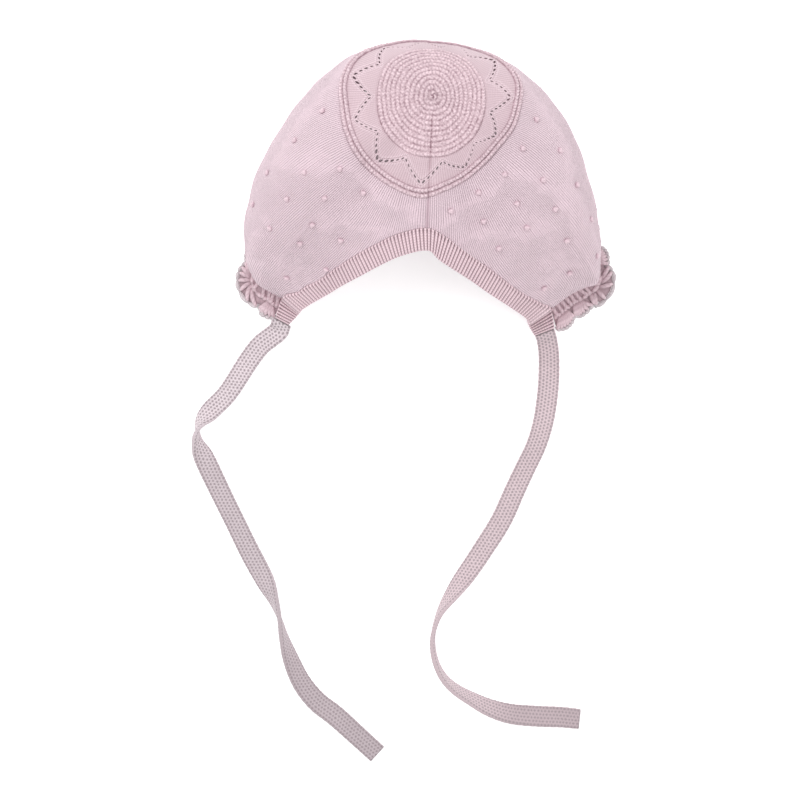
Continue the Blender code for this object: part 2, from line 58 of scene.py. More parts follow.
# Sizes of the cap, as in the solids
CAP_REACH = 0.125
CROWN_HEIGHT = 0.084
FACE_EDGE_HEIGHT = 0.0055
FACE_TUCK = 0.0175
SEAM_DIRECTION = 267.6
GAP = 0.0003
BAND_WALES = 20
BAND_WALES_REACH = 0.020
DISC_WALL = 0.0018
PANEL_WALL = 0.0014
LACE_WALL = 0.0014
LACE_SINK = 0.0003
DISC_RADIUS = 0.0262
LACE_WIDTH = 0.0132
RIDGE_RING_WIDTH = 0.0048
LACE_POINTS = 11
EYELETS_PER_LEG = 5
LACE_PHASE = 164.0
EYELET_PITCH = 0.0021
EYELET_INNER_MARGIN = 0.0013
EYELET_OUTER_MARGIN = 0.0003
BAND_WIDTH = 0.0110
BAND_RISE = 0.0009
BAND_DEPTH = 0.0019
BAND_END_SINK = 0.0035
TRIM_WIDTH = 0.0142
SCALLOP_PITCH = 0.0093
TRIM_FROM = -58.5
TRIM_TO = 231.25
TRIM_LEAN_FROM = 0.38
TRIM_LEAN_TO = 0.15
TRIM_LEAN_SCALLOPS = 2
TIE_WIDTH = 0.0105
TIE_THICKNESS = 0.0025
TIE_FLOOR_GAP = 0.0002

# Steps in which the skin's lengths are kept
DISTANCE_STEP = 0.0005
DISTANCE_LIMIT = 0.1

# How finely the ties are divided, and the part of their way on which they leave the band
TIE_STATIONS = 430
TIE_PATH_STEP = 6
TIE_LEAD_PARTS = 41
TIE_COURSE = 0.00175
TIE_BAND_STATIONS = 81

# The trim's posts, shells and looped edge
POST_PITCH = 0.00275
CHAINS_PER_SCALLOP = 5
STRANDS_PER_SHELL = 7
TUBE_SIDES = 8
SCALLOP_DEPTH = 0.0032

# Depth of the yarns' bumps
PANEL_BUMP = 0.00034
KNIT_BUMP = 0.00022
CROCHET_BUMP = 0.00015
PURL_BUMP = 0.00014

# Lights, and the point that they aim at
KEY_PLACE = (-0.55, 0.55, 1.25)
FILL_PLACE = (0.7, -0.3, 1.2)
LIGHT_AIM = (0.0, -0.08, 0.03)
KEY_SIZE = 0.8
FILL_SIZE = 1.0

# The cap's outline, one row for each direction from the crown's centre: direction in
# degrees from +X, reach as a share of CAP_REACH, the height of the widest point as a share
# of CROWN_HEIGHT, tuck as a share of FACE_TUCK, and the power of the crown's curve. reach
# follows the photo's silhouette, and the other columns are guesses.
OUTLINE_COLUMNS = ("direction", "reach", "widest", "tuck", "roundness")
OUTLINE = (
    (0, 0.490, 0.39, 1.00, 2.30),
    (15, 0.402, 0.43, 1.00, 2.20),
    (30, 0.337, 0.46, 1.00, 2.10),
    (50, 0.274, 0.50, 1.00, 2.00),
    (70, 0.245, 0.52, 1.00, 2.00),
    (90, 0.239, 0.52, 1.00, 2.00),
    (110, 0.259, 0.51, 1.00, 2.00),
    (130, 0.299, 0.49, 1.00, 2.05),
    (150, 0.377, 0.46, 1.00, 2.15),
    (165, 0.445, 0.43, 1.00, 2.25),
    (180, 0.540, 0.38, 1.00, 2.40),
    (192, 0.643, 0.34, 1.00, 2.40),
    (204, 0.789, 0.30, 1.00, 2.30),
    (214, 0.908, 0.26, 1.00, 2.20),
    (220, 0.970, 0.20, 1.00, 2.05),
    (222.2, 0.983, 0.17, 0.90, 2.00),
    (224.5, 0.997, 0.14, 0.30, 1.90),
    (229, 0.981, 0.11, 0.08, 1.80),
    (233, 0.970, 0.11, 0.05, 1.72),
    (245, 0.968, 0.11, 0.05, 1.75),
    (268, 0.944, 0.11, 0.05, 2.00),
    (290, 0.952, 0.11, 0.05, 1.80),
    (301, 0.940, 0.11, 0.05, 1.72),
    (307, 0.938, 0.12, 0.08, 1.80),
    (311, 0.950, 0.13, 0.10, 1.88),
    (314, 0.971, 0.15, 0.35, 1.95),
    (316, 0.948, 0.18, 0.90, 2.00),
    (318, 0.920, 0.21, 1.00, 2.05),
    (323, 0.848, 0.26, 1.00, 2.15),
    (333, 0.717, 0.30, 1.00, 2.30),
    (344, 0.613, 0.33, 1.00, 2.40),
)

# The medallion's outline, one row for each direction: its disc's edge as a share of
# DISC_RADIUS, and the raised ring's place as a share of its own distance. Both follow
# points read in the photo.
MEDALLION_COLUMNS = ("direction", "disc", "ring")
MEDALLION = (
    (0, 0.990, 1.060),
    (14, 1.000, 1.160),
    (33, 1.040, 1.230),
    (52, 1.125, 1.235),
    (72, 1.180, 1.225),
    (95, 1.203, 1.215),
    (115, 1.183, 1.225),
    (134, 1.155, 1.240),
    (150, 1.090, 1.230),
    (166, 1.050, 1.150),
    (183, 1.035, 1.058),
    (202, 1.077, 1.056),
    (220, 1.110, 1.080),
    (246, 1.143, 1.118),
    (266, 1.135, 1.135),
    (276, 1.130, 1.070),
    (291, 1.127, 1.010),
    (307, 1.092, 0.955),
    (322, 1.060, 0.932),
    (339, 1.010, 0.978),
)

# Dents and gathers of the skin: place and size as shares of CAP_REACH, lift as a share of
# PANEL_WALL (below zero for a dent), heading in degrees from +X.
FOLD_COLUMNS = ("across", "down", "length", "width", "lift", "heading")
FOLDS = (
    (-0.010, 0.255, 0.25, 0.012, -0.45, 268),
    (0.160, 0.465, 0.13, 0.040, -1.60, 284),
    (0.215, 0.520, 0.12, 0.040, 0.60, 290),
    (0.085, 0.455, 0.07, 0.030, 0.70, 282),
    (0.350, 0.060, 0.10, 0.060, -1.10, 330),
    (-0.110, 0.455, 0.08, 0.035, -0.60, 245),
    (-0.060, 0.450, 0.06, 0.025, 0.50, 255),
    (-0.580, 0.725, 0.09, 0.040, -1.00, 215),
)

# The neck band from left to right: its join with the panel and its free edge as shares of
# CAP_REACH, and the edge's drop below the join as a share of BAND_WIDTH. The points were
# read in the photo and turned into lengths with guessed heights.
NECK_COLUMNS = ("top_across", "top_down", "edge_across", "edge_down", "drop")
NECK = (
    (-0.633, 0.842, -0.580, 0.870, 0.15),
    (-0.623, 0.803, -0.552, 0.842, 0.20),
    (-0.598, 0.755, -0.527, 0.816, 0.30),
    (-0.538, 0.742, -0.484, 0.788, 0.55),
    (-0.508, 0.722, -0.457, 0.775, 0.58),
    (-0.450, 0.698, -0.408, 0.750, 0.62),
    (-0.389, 0.658, -0.356, 0.722, 0.58),
    (-0.314, 0.612, -0.278, 0.685, 0.40),
    (-0.226, 0.566, -0.192, 0.642, 0.34),
    (-0.134, 0.526, -0.114, 0.611, 0.20),
    (-0.022, 0.505, -0.020, 0.594, 0.18),
    (0.050, 0.537, 0.024, 0.628, 0.18),
    (0.105, 0.576, 0.070, 0.658, 0.20),
    (0.190, 0.633, 0.150, 0.706, 0.34),
    (0.263, 0.684, 0.222, 0.753, 0.42),
    (0.354, 0.745, 0.309, 0.803, 0.52),
    (0.441, 0.785, 0.375, 0.843, 0.40),
    (0.482, 0.798, 0.392, 0.864, 0.25),
    (0.494, 0.834, 0.403, 0.885, 0.18),
    (0.502, 0.884, 0.421, 0.914, 0.12),
)
CORNER_LEFT_ROW = 2
CORNER_RIGHT_ROW = 17

# The ties' routes as shares of CAP_REACH, with how far the ribbon has turned, in degrees.
# The points were read in the photo, and the turns were judged there.
TIE_COLUMNS = ("across", "down", "turn")
TIE_LEFT = (
    (-0.607, 0.856, 0),
    (-0.622, 0.892, 0),
    (-0.656, 0.920, 0),
    (-0.698, 0.954, 0),
    (-0.745, 1.016, 0),
    (-0.826, 1.141, 0),
    (-0.895, 1.214, 12),
    (-0.938, 1.264, 60),
    (-0.952, 1.306, 92),
    (-0.948, 1.350, 118),
    (-0.918, 1.423, 168),
    (-0.861, 1.544, 180),
    (-0.800, 1.668, 180),
    (-0.738, 1.794, 184),
    (-0.678, 1.905, 205),
    (-0.640, 1.990, 245),
    (-0.616, 2.065, 268),
    (-0.600, 2.134, 285),
    (-0.570, 2.229, 315),
    (-0.527, 2.323, 332),
    (-0.466, 2.400, 343),
    (-0.388, 2.462, 352),
    (-0.298, 2.544, 360),
    (-0.218, 2.617, 360),
)
TIE_RIGHT = (
    (0.4620, 0.8990, 0),
    (0.4720, 0.9300, 0),
    (0.4800, 0.9870, 0),
    (0.4800, 1.0810, 0),
    (0.4720, 1.1740, 0),
    (0.4560, 1.2690, 0),
    (0.4270, 1.3620, 0),
    (0.3820, 1.4560, 0),
    (0.3420, 1.5410, 0),
    (0.2850, 1.6660, 0),
    (0.2070, 1.7900, 4),
    (0.1500, 1.8740, 16),
    (0.0890, 1.9570, 50),
    (0.0360, 2.0380, 82),
    (0.0090, 2.1220, 92),
    (0.0080, 2.1910, 95),
    (0.0250, 2.2560, 98),
    (0.0560, 2.3090, 104),
    (0.1000, 2.3500, 112),
    (0.1600, 2.3860, 122),
    (0.2400, 2.4260, 140),
    (0.3290, 2.4520, 156),
    (0.4390, 2.4620, 168),
    (0.5290, 2.4660, 176),
    (0.6060, 2.4740, 180),
)

# Painted shade along the ties, at shares of their way: 1 is the light colour, 0 the groove shade colour.
# Tuned until the render came near the photo.
PAINTED_SHADE_COLUMNS = ("way", "light")
PAINTED_SHADE_LEFT = ((0.00, 1.00), (0.27, 1.00), (0.36, 0.66), (0.66, 0.66), (0.76, 0.46), (1.00, 0.46))
PAINTED_SHADE_RIGHT = ((0.00, 0.92), (0.40, 0.92), (0.55, 1.00), (0.80, 0.80), (0.88, 0.48), (1.00, 0.48))

# Where the bobbles sit on the side panel, as shares of CAP_REACH from the crown's centre
BOBBLE_COLUMNS = ("across", "down")
BOBBLES = (
    (-0.43, 0.05), (-0.54, 0.16), (-0.65, 0.28), (-0.50, 0.29), (-0.36, 0.28),
    (-0.27, 0.37), (-0.42, 0.39), (-0.57, 0.39), (-0.71, 0.40), (-0.47, 0.49),
    (-0.64, 0.50), (-0.52, 0.56), (-0.36, 0.55), (-0.42, 0.66), (-0.58, 0.69),
    (0.41, 0.08), (0.35, 0.20), (0.50, 0.20), (0.28, 0.30), (0.43, 0.32),
    (0.57, 0.33), (0.18, 0.37), (0.33, 0.41), (0.48, 0.43), (0.63, 0.46),
    (0.07, 0.44), (0.20, 0.48), (0.37, 0.50), (0.53, 0.55), (0.26, 0.58),
    (0.66, 0.60), (0.55, 0.67), (0.45, 0.73),
)

X, Y, Z = np.eye(3)


# Curves and the cap's skin


def smooth_table(knots, values, at):
    """A curve through table values: on each span a cubic with slopes from the neighbours."""
    knots = np.asarray(knots, float)
    values = np.asarray(values, float)
    slopes = np.gradient(values, knots)
    index = np.clip(np.searchsorted(knots, at, side="right") - 1, 0, len(knots) - 2)
    span = knots[index + 1] - knots[index]
    t = (at - knots[index]) / span
    rise = slopes[index] * span
    fall = slopes[index + 1] * span
    start = (2 * t**3 - 3 * t**2 + 1) * values[index] + (t**3 - 2 * t**2 + t) * rise
    end = (3 * t**2 - 2 * t**3) * values[index + 1] + (t**3 - t**2) * fall
    return start + end


def table_column(rows, columns, name):
    """One named column of a table."""
    return np.array([row[columns.index(name)] for row in rows])


def around_column(rows, columns, name, direction):
    """One column of a table of directions at any direction, read around the whole circle."""
    directions = table_column(rows, columns, "direction")
    knots = np.concatenate([directions + turn for turn in (-360, 0, 360)])
    values = np.tile(table_column(rows, columns, name), 3)
    return smooth_table(knots, values, np.asarray(direction, float) % 360)


def outline_column(column, direction):
    """One column of OUTLINE at any direction."""
    return around_column(OUTLINE, OUTLINE_COLUMNS, column, direction)


def soft_spots(across, down, rows, columns):
    """Sum over the rows of lift * exp(-(along/length)^2 - (beside/width)^2)."""
    lift = np.zeros(np.broadcast(across, down).shape)
    for row in rows:
        spot = dict(zip(columns, row))
        heading = math.radians(spot["heading"])
        x = across - spot["across"] * CAP_REACH
        y = -down + spot["down"] * CAP_REACH
        along = (x * math.cos(heading) + y * math.sin(heading)) / (spot["length"] * CAP_REACH)
        beside = (y * math.cos(heading) - x * math.sin(heading)) / (spot["width"] * CAP_REACH)
        lift = lift + spot["lift"] * PANEL_WALL * np.exp(-(along**2) - beside**2)
    return lift


def bare_skin(direction, share):
    """A point of the skin: a rounded quarter curve from the crown to the widest point
    (share 0 to 1), then a parabola that tucks in down to the face edge (share 1 to 2)."""
    direction = np.asarray(direction, float)
    share = np.asarray(share, float)
    reach = outline_column("reach", direction) * CAP_REACH
    widest = outline_column("widest", direction) * CROWN_HEIGHT
    tuck = outline_column("tuck", direction) * FACE_TUCK
    power = 2 / outline_column("roundness", direction)
    turn = np.clip(share, 0, 1) * math.pi / 2
    below = np.clip(share - 1, 0, 1)
    radius = reach * np.sin(turn) ** power - tuck * below**2
    height = widest + (CROWN_HEIGHT - widest) * np.clip(np.cos(turn), 0, 1) ** power
    height = height - (widest - FACE_EDGE_HEIGHT) * below
    angle = np.radians(direction)
    return np.stack([radius * np.cos(angle), radius * np.sin(angle), height], axis=-1)


def skin(direction, share, lift=0.0):
    """The skin moved along its outward normal by the folds and by lift."""
    direction = np.asarray(direction, float) + np.zeros_like(np.asarray(share, float))
    share = np.asarray(share, float) + np.zeros_like(direction)
    step = 0.002
    turn = 0.2
    safe = np.clip(share, 0.02, 2 - step)
    down = bare_skin(direction, safe + step) - bare_skin(direction, safe - step)
    around = bare_skin(direction + turn, safe) - bare_skin(direction - turn, safe)
    normal = np.cross(down, around)
    normal /= np.linalg.norm(normal, axis=-1, keepdims=True)
    point = bare_skin(direction, share)
    folds = soft_spots(point[..., 0], -point[..., 1], FOLDS, FOLD_COLUMNS)
    folds = folds * np.clip(2 * (1 - share), 0, 1)
    return point + normal * (folds + lift)[..., None]


def distance_table():
    """Shares for each whole degree and each DISTANCE_STEP from the crown's centre."""
    shares = np.linspace(0, 2, 401)
    degrees = np.arange(361)
    lines = bare_skin(degrees[:, None], shares[None, :])
    steps = np.linalg.norm(np.diff(lines, axis=1), axis=2)
    lengths = np.concatenate([np.zeros((361, 1)), np.cumsum(steps, axis=1)], axis=1)
    distances = np.arange(0, DISTANCE_LIMIT, DISTANCE_STEP)
    return np.array([np.interp(distances, row, shares) for row in lengths])


SHARE_TABLE = distance_table()


def share_at_distance(direction, distance):
    """The skin's share at a distance along it from the crown, read between table values."""
    direction, distance = np.broadcast_arrays(np.asarray(direction, float) % 360, distance)
    i = np.clip(direction.astype(int), 0, 359)
    j = np.clip((distance / DISTANCE_STEP).astype(int), 0, SHARE_TABLE.shape[1] - 2)
    s = direction - i
    t = distance / DISTANCE_STEP - j
    near = SHARE_TABLE[i, j] * (1 - t) + SHARE_TABLE[i, j + 1] * t
    far = SHARE_TABLE[i + 1, j] * (1 - t) + SHARE_TABLE[i + 1, j + 1] * t
    return near * (1 - s) + far * s


def share_at_radius(direction, radius):
    """The skin's share, from 0 to 1, at a plan distance from the crown's centre."""
    reach = outline_column("reach", direction) * CAP_REACH
    power = outline_column("roundness", direction) / 2
    return np.arcsin(np.clip(radius / reach, 0, 1) ** power) * 2 / math.pi


def medallion_distance(direction, distance):
    """The distance along the skin of a medallion place, drawn out by MEDALLION."""
    disc = around_column(MEDALLION, MEDALLION_COLUMNS, "disc", direction)
    ring = around_column(MEDALLION, MEDALLION_COLUMNS, "ring", direction)
    past_disc = np.clip((np.asarray(distance) - DISC_RADIUS) / LACE_WIDTH, 0, 1)
    return distance * (disc + (ring - disc) * past_disc)


def medallion(direction, distance, lift):
    """Points on the skin at a distance from the crown's centre, raised by lift."""
    distance = medallion_distance(direction, distance)
    return skin(direction, share_at_distance(direction, distance), lift)


def unit(vectors):
    """Vectors scaled to length one."""
    return vectors / np.linalg.norm(vectors, axis=-1, keepdims=True)


def bump(offset, width):
    """A soft bump: exp(-(offset / width)^2)."""
    return np.exp(-((offset / width) ** 2))


def step_between(low, high, value):
    """A smooth step from 0 at low to 1 at high: 3t^2 - 2t^3."""
    t = np.clip((value - low) / (high - low), 0, 1)
    return t * t * (3 - 2 * t)


def even_places(line, first, last, count):
    """Places along a line function that are evenly spaced by length, and that length."""
    fine = np.linspace(first, last, 400)
    points = line(fine)
    steps = np.linalg.norm(np.diff(points, axis=0), axis=1)
    length = np.concatenate([[0], np.cumsum(steps)])
    return np.interp(np.linspace(0, length[-1], count), length, fine), length[-1]


def polar(point):
    """Direction in degrees, from 0 to 360, and radius of plan points."""
    direction = np.degrees(np.arctan2(point[..., 1], point[..., 0])) % 360
    return direction, np.hypot(point[..., 0], point[..., 1])


def neck_line(place):
    """The join and the free edge of the band at places counted in rows of NECK."""
    across_top, down_top, across_edge, down_edge, drop = (
        table_column(NECK, NECK_COLUMNS, name) for name in NECK_COLUMNS
    )
    top = np.stack([across_top, -down_top], axis=1) * CAP_REACH
    edge = np.stack([across_edge, -down_edge], axis=1) * CAP_REACH
    knots = np.arange(len(NECK))
    top_xy = np.stack([smooth_table(knots, top[:, k], place) for k in (0, 1)], axis=-1)
    edge_xy = np.stack([smooth_table(knots, edge[:, k], place) for k in (0, 1)], axis=-1)
    direction, radius = polar(top_xy)
    height = skin(direction, share_at_radius(direction, radius))[..., 2]
    past_left = np.clip((CORNER_LEFT_ROW - place) / CORNER_LEFT_ROW, 0, 1)
    past_right = (place - CORNER_RIGHT_ROW) / (len(NECK) - 1 - CORNER_RIGHT_ROW)
    height = height - BAND_END_SINK * (past_left + np.clip(past_right, 0, 1))
    join = np.concatenate([top_xy, height[..., None]], axis=-1)
    low = height - smooth_table(knots, drop, place) * BAND_WIDTH
    return join, np.concatenate([edge_xy, low[..., None]], axis=-1)


# Meshes


class Skein:
    """Gathers grids and tubes of points into one mesh, with a stitch map and a relief."""

    def __init__(self):
        self.points = []
        self.quads = []
        self.quad_maps = []
        self.tips = []
        self.tip_maps = []
        self.relief = []
        self.spread = []
        self.count = 0

    def add_points(self, points, relief):
        """Adds points with their relief (0 in a groove, 1 on a stitch); gives their first number."""
        flat = np.asarray(points).reshape(-1, 3)
        first = self.count
        self.points.append(flat)
        self.relief.append(np.broadcast_to(relief, np.asarray(points).shape[:-1]).reshape(-1))
        self.count += len(flat)
        return first

    def grid(self, points, stitch_map, relief=1.0, ring=False, wrap=True):
        """Quads (i, j), (i + 1, j), (i + 1, j + 1), (i, j + 1) over rows i and columns j.

        Rows run outward and columns run round, so the faces point out. wrap joins the
        last column to the first one and ring the last row to the first one. stitch_map
        has one more row or column than the points where they wrap.
        """
        rows, columns = points.shape[:2]
        first = self.add_points(points, relief)
        i = np.arange(rows if ring else rows - 1)[:, None]
        j = np.arange(columns if wrap else columns - 1)[None, :]
        down = (i + 1) % rows
        beside = (j + 1) % columns
        corners = (i * columns + j, down * columns + j, down * columns + beside, i * columns + beside)
        self.quads.append(first + np.stack(corners, axis=-1).reshape(-1, 4))
        maps = (stitch_map[i, j], stitch_map[i + 1, j], stitch_map[i + 1, j + 1], stitch_map[i, j + 1])
        self.quad_maps.append(np.stack(maps, axis=2).reshape(-1, 4, 2))
        return first

    def cap(self, first, count, point, flip, relief=1.0):
        """Closes a loop of points with triangles that meet in one point."""
        pole = self.add_points(np.asarray(point)[None, :], relief)
        k = np.arange(count)
        after = (k + 1) % count
        middle = np.full(count, pole)
        order = (middle, first + after, first + k) if flip else (middle, first + k, first + after)
        self.tips.append(np.stack(order, axis=-1))
        self.tip_maps.append(np.zeros((count, 3, 2)))

    def close_ends(self, first, points, relief):
        """Closes both ends of a grid that is joined round its rows but not its columns."""
        rows, columns = points.shape[:2]
        for column, flip in ((0, False), (columns - 1, True)):
            loop = first + np.arange(rows) * columns + column
            pole = self.add_points(points[:, column].mean(axis=0)[None, :], relief)
            after = np.roll(loop, -1)
            middle = np.full(rows, pole)
            order = (middle, after, loop) if flip else (middle, loop, after)
            self.tips.append(np.stack(order, axis=-1))
            self.tip_maps.append(np.zeros((rows, 3, 2)))

    def tubes(self, paths, radii, around, relief=1.0):
        """Round tubes along paths[n, m]: path + radius * (side cos a + up sin a).

        side is level and across the path, up is square to both. relief is 0..1, or one
        value for each station. The stitch map runs once round and along in radii.
        """
        number, stations = paths.shape[:2]
        ahead = unit(np.gradient(paths, axis=1))
        side = unit(np.cross(ahead, Z))
        up = np.cross(side, ahead)
        angle = np.arange(around) / around * 2 * math.pi
        round_side = side[:, :, None, :] * np.cos(angle)[None, None, :, None]
        round_up = up[:, :, None, :] * np.sin(angle)[None, None, :, None]
        radii = np.broadcast_to(radii, (number, stations))
        points = paths[:, :, None, :] + radii[:, :, None, None] * (round_side + round_up)
        relief = np.broadcast_to(relief, (number, stations))
        first = self.add_points(points, relief[:, :, None])
        n = np.arange(number)[:, None, None] * stations * around
        i = np.arange(stations - 1)[None, :, None]
        j = np.arange(around)[None, None, :]
        down = i + 1
        beside = (j + 1) % around
        corners = (i * around + j, down * around + j, down * around + beside, i * around + beside)
        self.quads.append((first + n[..., None] + np.stack(corners, axis=-1)).reshape(-1, 4))
        steps = np.linalg.norm(np.diff(paths, axis=1), axis=2)
        steps = np.concatenate([np.zeros((number, 1)), np.cumsum(steps, axis=1)], axis=1)
        along = steps / np.mean(radii)
        u0 = np.broadcast_to(j / around, (number, stations - 1, around))
        u1 = u0 + 1 / around
        v0 = np.broadcast_to(along[:, :-1, None], u0.shape)
        v1 = np.broadcast_to(along[:, 1:, None], u0.shape)
        maps = ((u0, v0), (u0, v1), (u1, v1), (u1, v0))
        corner_maps = np.stack([np.stack(pair, axis=-1) for pair in maps], axis=3)
        self.quad_maps.append(corner_maps.reshape(-1, 4, 2))
        k = np.arange(around)[None, :]
        start = first + np.arange(number)[:, None] * stations * around
        finish = start + (stations - 1) * around
        head = self.add_points(paths[:, 0], relief[:, 0]) + np.arange(number)[:, None]
        tail = self.add_points(paths[:, -1], relief[:, -1]) + np.arange(number)[:, None]
        beside = (k + 1) % around
        for pole, row, order in ((head, start, 1), (tail, finish, -1)):
            parts = [pole + 0 * k, row + k, row + beside]
            if order < 0:
                parts = [pole + 0 * k, row + beside, row + k]
            self.tips.append(np.stack(parts, axis=-1).reshape(-1, 3))
            self.tip_maps.append(np.zeros((number * around, 3, 2)))

    def make(self, name, material):
        """The finished mesh object, in the model's place, shaded smooth.

        spread, where given, is the stitch map's stretch in doublings, one value a point.
        """
        points = np.concatenate(self.points) + np.array(CROWN_CENTRE)
        faces = np.concatenate(self.quads).tolist()
        maps = [np.concatenate(self.quad_maps).reshape(-1, 2)]
        if self.tips:
            faces += np.concatenate(self.tips).tolist()
            maps.append(np.concatenate(self.tip_maps).reshape(-1, 2))
        mesh = bpy.data.meshes.new(name)
        mesh.from_pydata(points.tolist(), [], faces)
        layer = mesh.uv_layers.new(name="stitches")
        layer.data.foreach_set("uv", np.concatenate(maps).astype(np.float32).ravel())
        shade = mesh.attributes.new("relief", "FLOAT", "POINT")
        shade.data.foreach_set("value", np.concatenate(self.relief).astype(np.float32))
        if self.spread:
            stretch = mesh.attributes.new("spread", "FLOAT", "POINT")
            stretch.data.foreach_set("value", np.concatenate(self.spread).astype(np.float32))
        mesh.polygons.foreach_set("use_smooth", np.ones(len(mesh.polygons), bool))
        mesh.materials.append(material)
        obj = bpy.data.objects.new(name, mesh)
        bpy.context.scene.collection.objects.link(obj)
        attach(obj, "root")
        return obj


# Yarn materials


def linear(channel):
    """A display colour channel (0 to 1) as linear light."""
    if channel <= 0.04045:
        return channel / 12.92
    return ((channel + 0.055) / 1.055) ** 2.4


class Yarn:
    """Builds the nodes of one yarn's material."""

    def __init__(self, name):
        self.material = bpy.data.materials.new(name)
        self.material.use_nodes = True
        self.tree = self.material.node_tree
        self.shader = self.tree.nodes["Principled BSDF"]

    def put(self, socket, value):
        """Links a socket to another, or sets its value."""
        if isinstance(value, bpy.types.NodeSocket):
            self.tree.links.new(value, socket)
        else:
            socket.default_value = value

    def node(self, kind, inputs=(), **settings):
        """A new node with its settings and its inputs by name or number."""
        made = self.tree.nodes.new(kind)
        for key, value in settings.items():
            setattr(made, key, value)
        for key, value in dict(inputs).items():
            self.put(made.inputs[key], value)
        return made

    def sum(self, operation, *values):
        """A Math node's result."""
        made = self.node("ShaderNodeMath", enumerate(values), operation=operation)
        return made.outputs[0]

    def stitch_axes(self):
        """The two axes of the stitch map, in stitches."""
        place = self.node("ShaderNodeUVMap", uv_map="stitches")
        split = self.node("ShaderNodeSeparateXYZ", {0: place.outputs[0]})
        return split.outputs[0], split.outputs[1]

    def relief(self):
        """The relief kept in the mesh: 0 in a groove, 1 on top of a stitch. It also sets how far the
        painted groove shade darkens the colour.
        """
        return self.node("ShaderNodeAttribute", attribute_name="relief").outputs["Fac"]

    def noise(self, scale, detail=2.0):
        """Noise over the object's own coordinates, 0 to 1."""
        place = self.node("ShaderNodeTexCoord").outputs["Object"]
        inputs = {"Vector": place, "Scale": scale, "Detail": detail}
        return self.node("ShaderNodeTexNoise", inputs).outputs[0]

    def off_middle(self, value, shift=0.0):
        """How far a value is from the middle of its stitch: 0 there, 1 at its border."""
        part = self.sum("FRACT", self.sum("ADD", value, shift))
        return self.sum("MULTIPLY", self.sum("ABSOLUTE", self.sum("SUBTRACT", part, 0.5)), 2.0)

    def blend(self, share, first, second):
        """A colour between two display colours."""
        inputs = {"Factor": share}
        made = self.node("ShaderNodeMix", inputs, data_type="RGBA")
        colours = [value for value in made.inputs if value.type == "RGBA"]
        for socket, colour in zip(colours, (first, second)):
            if isinstance(colour, bpy.types.NodeSocket):
                self.put(socket, colour)
            else:
                socket.default_value = tuple(linear(c) for c in colour) + (1.0,)
        return [value for value in made.outputs if value.type == "RGBA"][0]

    def finish(self, height, light, groove_shade, depth, fuzz=0.12, sheen=0.25):
        """Colour from the painted groove shade up to the yarn's colour on top of the stitch, its bump,
        and the yarn's shine.
        """
        uneven = self.noise(55.0, 3.0)
        fibre = self.noise(2600.0, 2.0)
        wool = self.sum("MULTIPLY", self.sum("SUBTRACT", fibre, 0.5), 0.3)
        share = self.sum("ADD", height, wool)
        made = self.node("ShaderNodeClamp", {0: share})
        # Painted shade: the colour falls from the light colour on a stitch to the groove_shade colour in
        # its grooves and gaps.
        colour = self.blend(made.outputs[0], groove_shade, light)
        cloudy = self.node("ShaderNodeMapRange", {0: uneven, 1: 0.3, 2: 0.7, 3: 0.965, 4: 1.03})
        tone = self.node("ShaderNodeVectorMath", {0: colour}, operation="SCALE")
        self.put(tone.inputs["Scale"], cloudy.outputs[0])
        self.put(self.shader.inputs["Base Color"], tone.outputs[0])
        surface = self.sum("ADD", height, self.sum("MULTIPLY", fibre, fuzz))
        raised = self.node("ShaderNodeBump", {"Strength": 1.0, "Distance": depth, "Height": surface})
        self.put(self.shader.inputs["Normal"], raised.outputs[0])
        self.shader.inputs["Roughness"].default_value = 0.88
        self.shader.inputs["Specular IOR Level"].default_value = 0.2
        self.shader.inputs["Sheen Weight"].default_value = sheen
        self.shader.inputs["Sheen Roughness"].default_value = 0.5
        self.shader.inputs["Sheen Tint"].default_value = (1.0, 0.97, 0.98, 1.0)
        return self.material


def stockinette_height(yarn, u=None, v=None):
    """Rows of V stitches: two leaning legs a stitch, with a deep groove between wales."""
    if u is None:
        u, v = yarn.stitch_axes()
    off = yarn.off_middle(u)
    leg = yarn.sum("SUBTRACT", 1.0, yarn.sum("POWER", off, 3.0))
    part = yarn.sum("FRACT", yarn.sum("MULTIPLY_ADD", off, 0.55, v))
    loop = yarn.sum("MULTIPLY", yarn.sum("MULTIPLY", part, yarn.sum("SUBTRACT", 1.0, part)), 4.0)
    loop = yarn.sum("MULTIPLY_ADD", loop, 0.5, 0.5)
    split = yarn.sum("MAXIMUM", yarn.sum("MULTIPLY_ADD", off, -4.0, 1.0), 0.0)
    height = yarn.sum("MULTIPLY", leg, loop)
    return yarn.sum("SUBTRACT", height, yarn.sum("MULTIPLY", split, 0.2))


